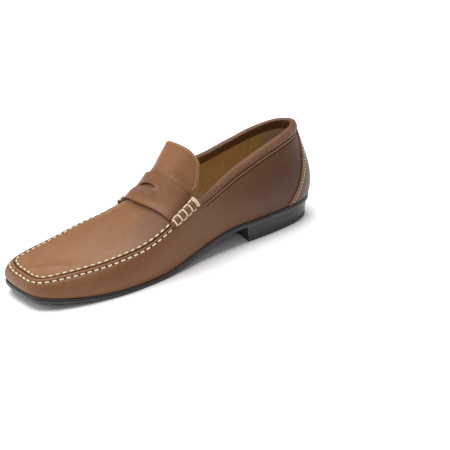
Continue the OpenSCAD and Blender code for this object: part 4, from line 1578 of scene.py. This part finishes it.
@dataclass
class Topline:
    """The rolled collar round the opening and the fine seam under it."""

    last: Last
    bench: Bench
    out_h: float = 0.0063
    in_h: float = 0.010
    row: float = 0.0083
    per_turn: int = 22

    def tone_and_painted_light(self, u: float, row: Row, p: Vector) -> float:
        """How dark the roll's colour is painted: a painted highlight along its crown and painted shade along
        its lower edge.
        """
        # Painted highlight along the crown, painted shade along the lower edge where the roll meets the wall.
        crown = bell(row[0] - 0.0012, 0.0022) * (1.0 if row[1] > 0 else 0.3)
        return 0.32 - 0.42 * crown + 0.6 * bell(row[0] - self.out_h, 0.0006) * (1.0 if row[1] > 0 else 0.0)

    def build(self) -> None:
        """Makes the padded roll and its stitches."""
        l = self.last
        deep = l.leather_t + l.lining_t + 0.0001
        # Each row: distance below the edge, height over the wall's face, and rise over the edge.
        profile = [
            (self.out_h, 0.0002, 0), (self.out_h, 0.0007, 0), (self.out_h - 0.0005, 0.0012, 0),
            (0.0052, 0.0018, 0), (0.0040, 0.0023, 0), (0.0026, 0.0025, 0), (0.0012, 0.0023, 0.0001),
            (0, 0.0017, 0.0007), (0, 0.0007, 0.0014), (0, -0.0005, 0.0018), (0, -0.0018, 0.0017),
            (0, -0.0030, 0.0012), (0, -0.0037, 0.0004), (0.0015, -deep - 0.0014, 0),
            (0.004, -deep - 0.0012, 0), (0.007, -deep - 0.0010, 0),
            (self.in_h - 0.0004, -deep - 0.0009, 0), (self.in_h, -deep - 0.0005, 0),
            (self.in_h, -deep - 0.0001, 0), (0.006, -deep - 0.0001, 0),
            (0, -deep + 0.0006, 0.0002), (0, -0.0004, 0.0003), (0.003, 0.0001, 0),
        ]

        def place(u: float, row: Row) -> Vector:
            u = u % l.turns
            p = l.wall(u, l.drop(u, row[0]), row[1]) + UP * row[2]
            crimp = 0.00010 * noise.noise(Vector((p.x * 420, p.y * 420, p.z * 90)))
            crimp += 0.00018 * noise.noise(p * 70.0)
            return p + l.wall_normal(u, 1) * crimp * smooth(row[1] / 0.002 + 1)

        us = even_us(-l.roll_back - 0.12, l.roll_back + 0.12, self.per_turn)
        roll = loop_shell(us, profile, place, self.tone_and_painted_light)
        self.bench.finish(roll, "collar_roll", Slot.BINDING, ["topline_binding"])
        us = even_us(-l.roll_back + 0.2, l.roll_back - 0.2, 20)
        points = [l.wall(u % l.turns, l.drop(u % l.turns, self.row), 0.00035) for u in us]
        normals = [l.wall_normal(u % l.turns, 0.9) for u in us]
        bm = bmesh.new()
        Thread(width=0.0007).sew(bm, Seam(points, normals, 0.0027).places(0.72), 0.0020)
        self.bench.finish(bm, "collar_thread", Slot.BROWN_THREAD, ["topline_stitching"])


@dataclass
class Strap:
    """The saddle strap with its arched slit, and the two beefrolls that hold its ends."""

    last: Last
    bench: Bench
    thickness: float = 0.0018
    gap: float = 0.00035
    lip_h: float = 0.0019
    lip_dip: float = 0.0006
    front_lift: float = 0.0014
    end_sink: float = 0.0006
    reach: float = 0.9
    slit_centre: float = -0.26
    slit_reach: float = 0.44
    slit_w: float = 0.0027
    roll_r: float = 0.0048
    roll_rise: float = 0.0015
    wraps: int = 5
    thread_w: float = 0.00135

    def band(self, row: float, q: float) -> float:
        """The apron place v of a line along the strap: row 0 is its back edge and 1 its front."""
        return row * self.front(q)

    def front(self, q: float) -> float:
        """The apron place v of the strap's front edge."""
        return 1 / 6 + 0.01 * (1 - q * q) - 0.008 * smooth((-q - 0.2) / 0.4)

    def slit_place(self, q: float) -> float:
        """How far across the strap the slit lies at q."""
        return (0.4 / 6 + 0.1 * min(0.6, abs(q + 0.05)) ** 2) / self.front(q)

    def slit_open(self, q: float) -> float:
        """Half the slit's opening at q, as a share of the strap's width."""
        reach = (q - self.slit_centre) / self.slit_reach
        return 0.5 * self.slit_w / 0.026 * max(0.04, 1 - reach * reach) ** 0.5

    def surface(self, row: float, q: float) -> Vector:
        """A point on the strap's outer face."""
        off = self.gap + self.thickness
        centre = self.slit_place(q)
        inside = smooth((self.slit_reach * 1.35 - abs(q - self.slit_centre)) / 0.2)
        lip, dip = bell(row - centre - 0.08, 0.13), bell(row - centre + 0.07, 0.09)
        off += inside * (self.lip_h * lip - self.lip_dip * dip)
        off += self.front_lift * (1 - q * q) * smooth((row - 0.75) / 0.25)
        off -= self.end_sink * smooth((abs(q) - 0.72) / 0.18)
        p = self.last.apron(self.band(row, q), q, off)
        return p + self.last.apron_normal(0.1, q) * (0.00018 * noise.noise(p * 60.0))

    def strap(self) -> None:
        """The strap: a patch over the instep, cut for the slit, then given its thickness."""
        columns = 96
        qs = [self.reach * (1 - 2 * i / columns) for i in range(columns + 1)]
        back, front = span(0, 1, 9), span(0, 1, 10)

        def row_at(j: int, q: float) -> float:
            centre, half = self.slit_place(q), self.slit_open(q)
            if j < len(back):
                return back[j] * (centre - half)
            return mix(centre + half, 1.0, front[j - len(back)])

        rows = len(back) + len(front) - 1
        bm = lay_grid(
            columns, rows, lambda i, j: self.surface(row_at(j, qs[i]), qs[i]),
            lambda i, j, p: self.tone_and_painted_light(row_at(j, qs[i]), qs[i]),
        )
        layer = bm.loops.layers.uv.active
        cut = [
            f for f in bm.faces
            if self.in_slit([c[layer].uv for c in f.loops], len(back) - 1, rows)
        ]
        stretch_map(bm, 0.09, 0.025)
        bmesh.ops.delete(bm, geom=cut, context="FACES")
        bmesh.ops.recalc_face_normals(bm, faces=bm.faces[:])
        Upper.face_up(bm)
        thick_patch(bm, self.thickness, 0.36, 3)
        self.bench.finish(bm, "saddle_strap_leather", Slot.BROWN, ["saddle_strap"])

    def tone_and_painted_light(self, row: float, q: float) -> float:
        """How dark the strap's colour is: darker towards its ends and along its front and back edges, with
        painted shade by the slit.
        """
        near = smooth((self.slit_reach - abs(q - self.slit_centre)) / 0.1)
        tone = 0.22 + 0.3 * smooth((abs(q) - 0.75) / 0.12)
        # Painted shade by the slit.
        tone += 0.5 * near * bell(row - self.slit_place(q), 0.07)
        return tone + 0.35 * bell(row, 0.03) + 0.3 * bell(1 - row, 0.03)

    def in_slit(self, uvs: list[Vector], line: int, rows: int) -> bool:
        """Whether a cell of the patch lies in the slit.

        Args:
            uvs: The cell's corners on the patch's map, from 0 to 1 each way.
            line: The row of cells that the slit takes.
            rows: The patch's rows of cells.

        Returns:
            True where the cell is cut out.
        """
        across = self.reach * (1 - 2 * sum(uv.x for uv in uvs) / len(uvs))
        row = sum(uv.y for uv in uvs) / len(uvs) * rows
        return line < row < line + 1 and abs(across - self.slit_centre) < self.slit_reach

    def roll_u(self, side: int, k: float) -> float:
        """The place round the shoe at k along a beefroll."""
        u = self.last.roll_back + 0.03 + k * 0.97
        return u if side > 0 else self.last.turns - u

    def roll_frame(self, side: int, k: float) -> tuple[Vector, Vector, Vector]:
        """The middle of the roll's base at k, its way across and its way up."""
        l = self.last
        u = self.roll_u(side, k)
        along = (l.top(self.roll_u(side, k + 0.02)) - l.top(self.roll_u(side, k - 0.02))).normalized()
        up = l.column(u).lean
        across = along.cross(up).normalized() * side
        base = l.top(u) + up * 0.00025 + (UP - l.out(u)) * self.roll_rise * (1 - k)
        return base, across, across.cross(along).normalized() * side

    def radius(self, k: float) -> float:
        """The roll's radius at k."""
        return self.roll_r * mix(1.0, 0.66, k)

    def wrap_places(self) -> list[float]:
        """Where the thread goes round the roll."""
        return [mix(0.08, 0.9, i / (self.wraps - 1)) for i in range(self.wraps)]

    def pinch(self, k: float) -> float:
        """How much the thread draws the roll in at k."""
        return min(1.0, sum(bell(k - w, 0.04) for w in self.wrap_places()))

    def beefroll(self, side: int, name: str, node: str) -> None:
        """One padded roll, drawn in by its thread."""
        ks = span(-0.02, 1.03, 90)
        turns = 24

        def place(k: float, turn: float) -> Vector:
            base, across, up = self.roll_frame(side, k)
            end = min(1.0, max(0.0, (k + 0.02) / 0.06)) * min(1.0, max(0.0, (1.03 - k) / 0.1))
            r = self.radius(k) * math.sqrt(max(0.0004, 1 - (1 - end) ** 2)) * (1 - 0.24 * self.pinch(k))
            height = math.sin(turn) * (1.0 if math.sin(turn) > 0 else mix(0.6, 0.3, k))
            fold = 1 + 0.025 * math.sin(3 * turn + 30 * k)
            return base + across * r * math.cos(turn) * fold + up * (r * height * fold + 0.0003)

        profile = [math.tau * i / turns for i in range(turns)]
        # Painted shade where the thread draws the roll in, over an even base tone.
        bm = loop_shell(ks, profile, place, lambda k, turn, p: 0.3 + 0.6 * self.pinch(k) ** 2)
        self.bench.finish(bm, name, Slot.BROWN, [node], crease=60)

    def wrap_thread(self, side: int, name: str, node: str) -> None:
        """The thread over a roll: a round for each wrap, and a stitch between rounds on both sides."""
        bm = bmesh.new()
        bm.loops.layers.uv.new("map")
        thread = Thread(width=self.thread_w, dip=0.2)
        places = self.wrap_places()
        for index, k in enumerate([places[0] - 0.045] + places):
            self.wrap(bm, side, k)
        for a, b in zip(places, places[1:]):
            for turn in (0.3, math.pi - 0.3):
                ends = []
                for k in (a + 0.02, b - 0.02):
                    base, across, up = self.roll_frame(side, k)
                    r = self.radius(k) * 1.06
                    lift = up * (r * math.sin(turn) + 0.0007)
                    ends.append((base + across * r * math.cos(turn) + lift, up))
                (p, n), (q, _) = ends
                thread.sew(bm, [put_frame((p + q) / 2, q - p, n)], (q - p).length)
        self.bench.finish(bm, name, Slot.CREAM, [node])

    def wrap(self, bm: bmesh.types.BMesh, side: int, k: float) -> None:
        """One round of thread over the roll, from one side of its base to the other."""
        base, across, up = self.roll_frame(side, k)
        along = across.cross(up)
        r = self.radius(k) * (1 - 0.24 * self.pinch(k)) + self.thread_w * 0.3
        steps, sides = 16, 8

        def point(i: int, j: int) -> Vector:
            turn = mix(-0.12, math.pi + 0.12, i / steps)
            ring = math.tau * j / sides
            fat = self.thread_w / 2
            spoke = across * math.cos(turn) + up * math.sin(turn)
            return base + up * 0.0003 + spoke * (r + fat * math.cos(ring)) + along * fat * math.sin(ring)

        part = lay_grid(steps, sides, point)
        stretch_map(part, 9.0, 1.0)
        close_shell(part)
        mesh = bpy.data.meshes.new("wrap")
        part.to_mesh(mesh)
        part.free()
        bm.from_mesh(mesh)
        bpy.data.meshes.remove(mesh)

    def build(self) -> None:
        """Makes the strap, both rolls and their thread."""
        self.strap()
        for side, word in ((1, "lateral"), (-1, "medial")):
            self.beefroll(side, f"beefroll_{word}_leather", f"beefroll_{word}")
            self.wrap_thread(side, f"beefroll_{word}_wraps", f"beefroll_thread_{word}")


@dataclass
class Tongue:
    """The tongue, which rises from under the strap and bends with the ankle."""

    last: Last
    bench: Bench
    height: float = 0.029
    base_half: float = 0.031
    tip_half: float = 0.024
    gap: float = 0.0015

    def __post_init__(self) -> None:
        """Places the fold line and the way the tongue stands."""
        self.hinge = self.last.ridge(0)
        self.rise = Vector((-0.62, 0.13, 0.8)).normalized()
        self.start = self.hinge + self.rise * self.gap

    def control(self, q: float) -> list[Row]:
        """The points that one upright line of the tongue passes through."""
        l = self.last
        arch = (1 - q * q) * (1 + 0.3 * q * q)
        f = 1 - arch
        base = self.start + Vector((-0.014 * f, self.base_half * l.scale_y * q, -0.017 * f))
        tip = self.start + self.rise * self.height + Vector((
            -0.003 * q * q - 0.002 * q**6,
            self.tip_half * l.scale_y * q + 0.001,
            -0.004 * q * q - 0.008 * q**6,
        ))
        bow = Vector((-2.2, 3 * q, 1)) * MM
        under = [l.apron(v, q * 0.84) for v in (0.034, 0.012)]
        free = [mix(base, tip, s) + bow * 2 * s * (1 - s) for s in (0.12, 0.4, 0.7, 1.0)]
        return [tuple(p) for p in under + free]

    def point(self, s: float, q: float, off: float = 0.0) -> Vector:
        """A point on the tongue: s runs from its hidden root at 0 to its tip at 1."""
        table = self.control(q)
        p = Vector(line_at(table, s * (len(table) - 1)))
        wave = 0.0004 * noise.noise(p * 45.0) * smooth(s * 2 - 0.4)
        return p + self.up(q) * (off + wave)

    def up(self, q: float) -> Vector:
        """The direction out of the tongue's face."""
        return Vector((0.8, 0.75 * q - 0.1, 0.6)).normalized()

    def patch(self, off: float, thickness: float, shrink: float, name: str, slot: Slot, node: str) -> None:
        """One layer of the tongue."""
        qs, ss = span(1 - shrink, -1 + shrink, 56), span(0.0, 1 - shrink * 0.4, 48)
        bm = lay_grid(
            len(ss) - 1, len(qs) - 1, lambda i, j: self.point(ss[i], qs[j], off),
            lambda i, j, p: 0.1 * smooth((0.6 - ss[i]) / 0.3),
        )
        stretch_map(bm, 0.04, 0.05)
        bmesh.ops.recalc_face_normals(bm, faces=bm.faces[:])
        if sum(f.normal.x * f.calc_area() for f in bm.faces) < 0:
            bmesh.ops.reverse_faces(bm, faces=bm.faces[:])
        bm.normal_update()
        thick_patch(bm, thickness, 0.3, 2)
        self.bend(self.bench.finish(bm, name, slot, [node], body=None))

    def bend(self, piece: bpy.types.Object) -> None:
        """Bakes the piece's placement into its mesh, leaving it on no body."""
        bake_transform(piece)

    def build(self) -> None:
        """Makes the tongue, its lining and the fine row round its edge."""
        l = self.last
        thick = l.leather_t * 0.9
        self.patch(0.0, thick, 0.0, "tongue_leather", Slot.BROWN, "tongue")
        self.patch(-thick - 0.00003, l.lining_t, 0.006, "tongue_lining_skin", Slot.LINING, "tongue_lining")
        path = [(s, 0.95) for s in span(0.36, 0.96, 24)] + [(0.965, q) for q in span(0.93, -0.93, 30)]
        path += [(s, -0.95) for s in span(0.96, 0.36, 24)]
        points = [self.point(s, q, 0.00022) for s, q in path]
        bm = bmesh.new()
        row = Seam(points, [self.up(q) for _, q in path], 0.0026)
        Thread(width=0.0008).sew(bm, row.places(0.66), 0.0018)
        piece = self.bench.finish(bm, "tongue_thread", Slot.BROWN_THREAD, ["tongue_stitching"], body=None)
        self.bend(piece)


# ---------------------------------------------------------------- studio


@dataclass
class Studio:
    """The pale floor, the soft lights and the camera."""

    target: Row = (0.0305, -0.021, -0.0039)
    azimuth: float = 53.6
    elevation: float = 24.2
    distance: float = 1.213
    roll: float = -3.5
    lens: float = 104.1

    def camera(self) -> None:
        """Sets the camera at the usual three-quarter view."""
        az, el, tilt = (math.radians(a) for a in (self.azimuth, self.elevation, self.roll))
        back = Vector((math.cos(el) * math.cos(az), math.cos(el) * math.sin(az), math.sin(el)))
        right = (-back).cross(UP).normalized()
        up = right.cross(-back)
        r2 = right * math.cos(tilt) + up * math.sin(tilt)
        u2 = up * math.cos(tilt) - right * math.sin(tilt)
        data = bpy.data.cameras.new("camera")
        data.lens, data.sensor_width = self.lens, 36.0
        data.clip_start, data.clip_end = 0.05, 30.0
        cam = bpy.data.objects.new("camera", data)
        at = Vector(self.target) + back * self.distance
        cam.matrix_world = Matrix((
            (r2.x, u2.x, back.x, at.x),
            (r2.y, u2.y, back.y, at.y),
            (r2.z, u2.z, back.z, at.z),
            (0, 0, 0, 1),
        ))
        bpy.context.scene.collection.objects.link(cam)
        bpy.context.scene.camera = cam

    def light(self, name: str, at: Row, size: float, power: float, colour: Colour = (1, 1, 1)) -> None:
        """A square soft light that looks at the shoe."""
        data = bpy.data.lights.new(name, "AREA")
        data.size, data.energy, data.color = size, power, colour
        lamp = bpy.data.objects.new(name, data)
        lamp.location = at
        lamp.rotation_euler = (Vector((0.09, 0, 0.03)) - Vector(at)).to_track_quat("-Z", "Y").to_euler()
        bpy.context.scene.collection.objects.link(lamp)

    def floor(self) -> None:
        """A wide pale floor under the shoe."""
        bm = bmesh.new()
        bmesh.ops.create_grid(bm, x_segments=1, y_segments=1, size=6.0)
        mesh = bpy.data.meshes.new("floor")
        bm.to_mesh(mesh)
        bm.free()
        material, _, shader = start_material("floor_paper")
        shader.inputs["Base Color"].default_value = (0.97, 0.97, 0.97, 1)
        shader.inputs["Roughness"].default_value = 0.9
        mesh.materials.append(material)
        floor = bpy.data.objects.new("floor", mesh)
        bpy.context.scene.collection.objects.link(floor)

    def build(self) -> None:
        """Sets the stage."""
        self.camera()
        self.floor()
        self.light("overhead", (0.1, -0.35, 1.9), 2.2, 74.0)
        self.light("window", (1.6, -0.9, 1.1), 0.9, 11.0)
        self.light("camera_side", (0.9, 1.7, 1.2), 1.0, 6.5)
        world = bpy.data.worlds.new("room")
        world.use_nodes = True
        sky = world.node_tree.nodes["Background"]
        sky.inputs["Color"].default_value = (1, 1, 1, 1)
        sky.inputs["Strength"].default_value = 0.22
        bpy.context.scene.world = world
        bpy.context.scene.view_settings.view_transform = "Standard"


def dress_hidden(finishes: Finishes) -> None:
    """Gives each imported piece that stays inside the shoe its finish."""
    for node, slot in (
        ("heel_nails", Slot.STEEL), ("shank", Slot.STEEL), ("cork_filler", Slot.CORK),
        ("toe_puff", Slot.BOARD), ("heel_counter", Slot.BOARD),
    ):
        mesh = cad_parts[node].data
        if mesh.materials:
            for index in range(len(mesh.materials)):
                mesh.materials[index] = finishes[slot]
        else:
            mesh.materials.append(finishes[slot])
        LOG.info("%s keeps its packed shape", node)


def main() -> None:
    """Builds the shoe and its stage."""
    logging.basicConfig(level=logging.INFO, format="%(name)s %(message)s")
    Studio().build()
    finishes = Finishes()
    bench = Bench(finishes)
    last = Last()
    for assembly in (Sole, Heel, Upper, Lining, Topline, Strap, Tongue):
        assembly(last, bench).build()
        LOG.info("%s is done", assembly.__name__)
    dress_hidden(finishes)


if __name__ == "__main__":
    main()
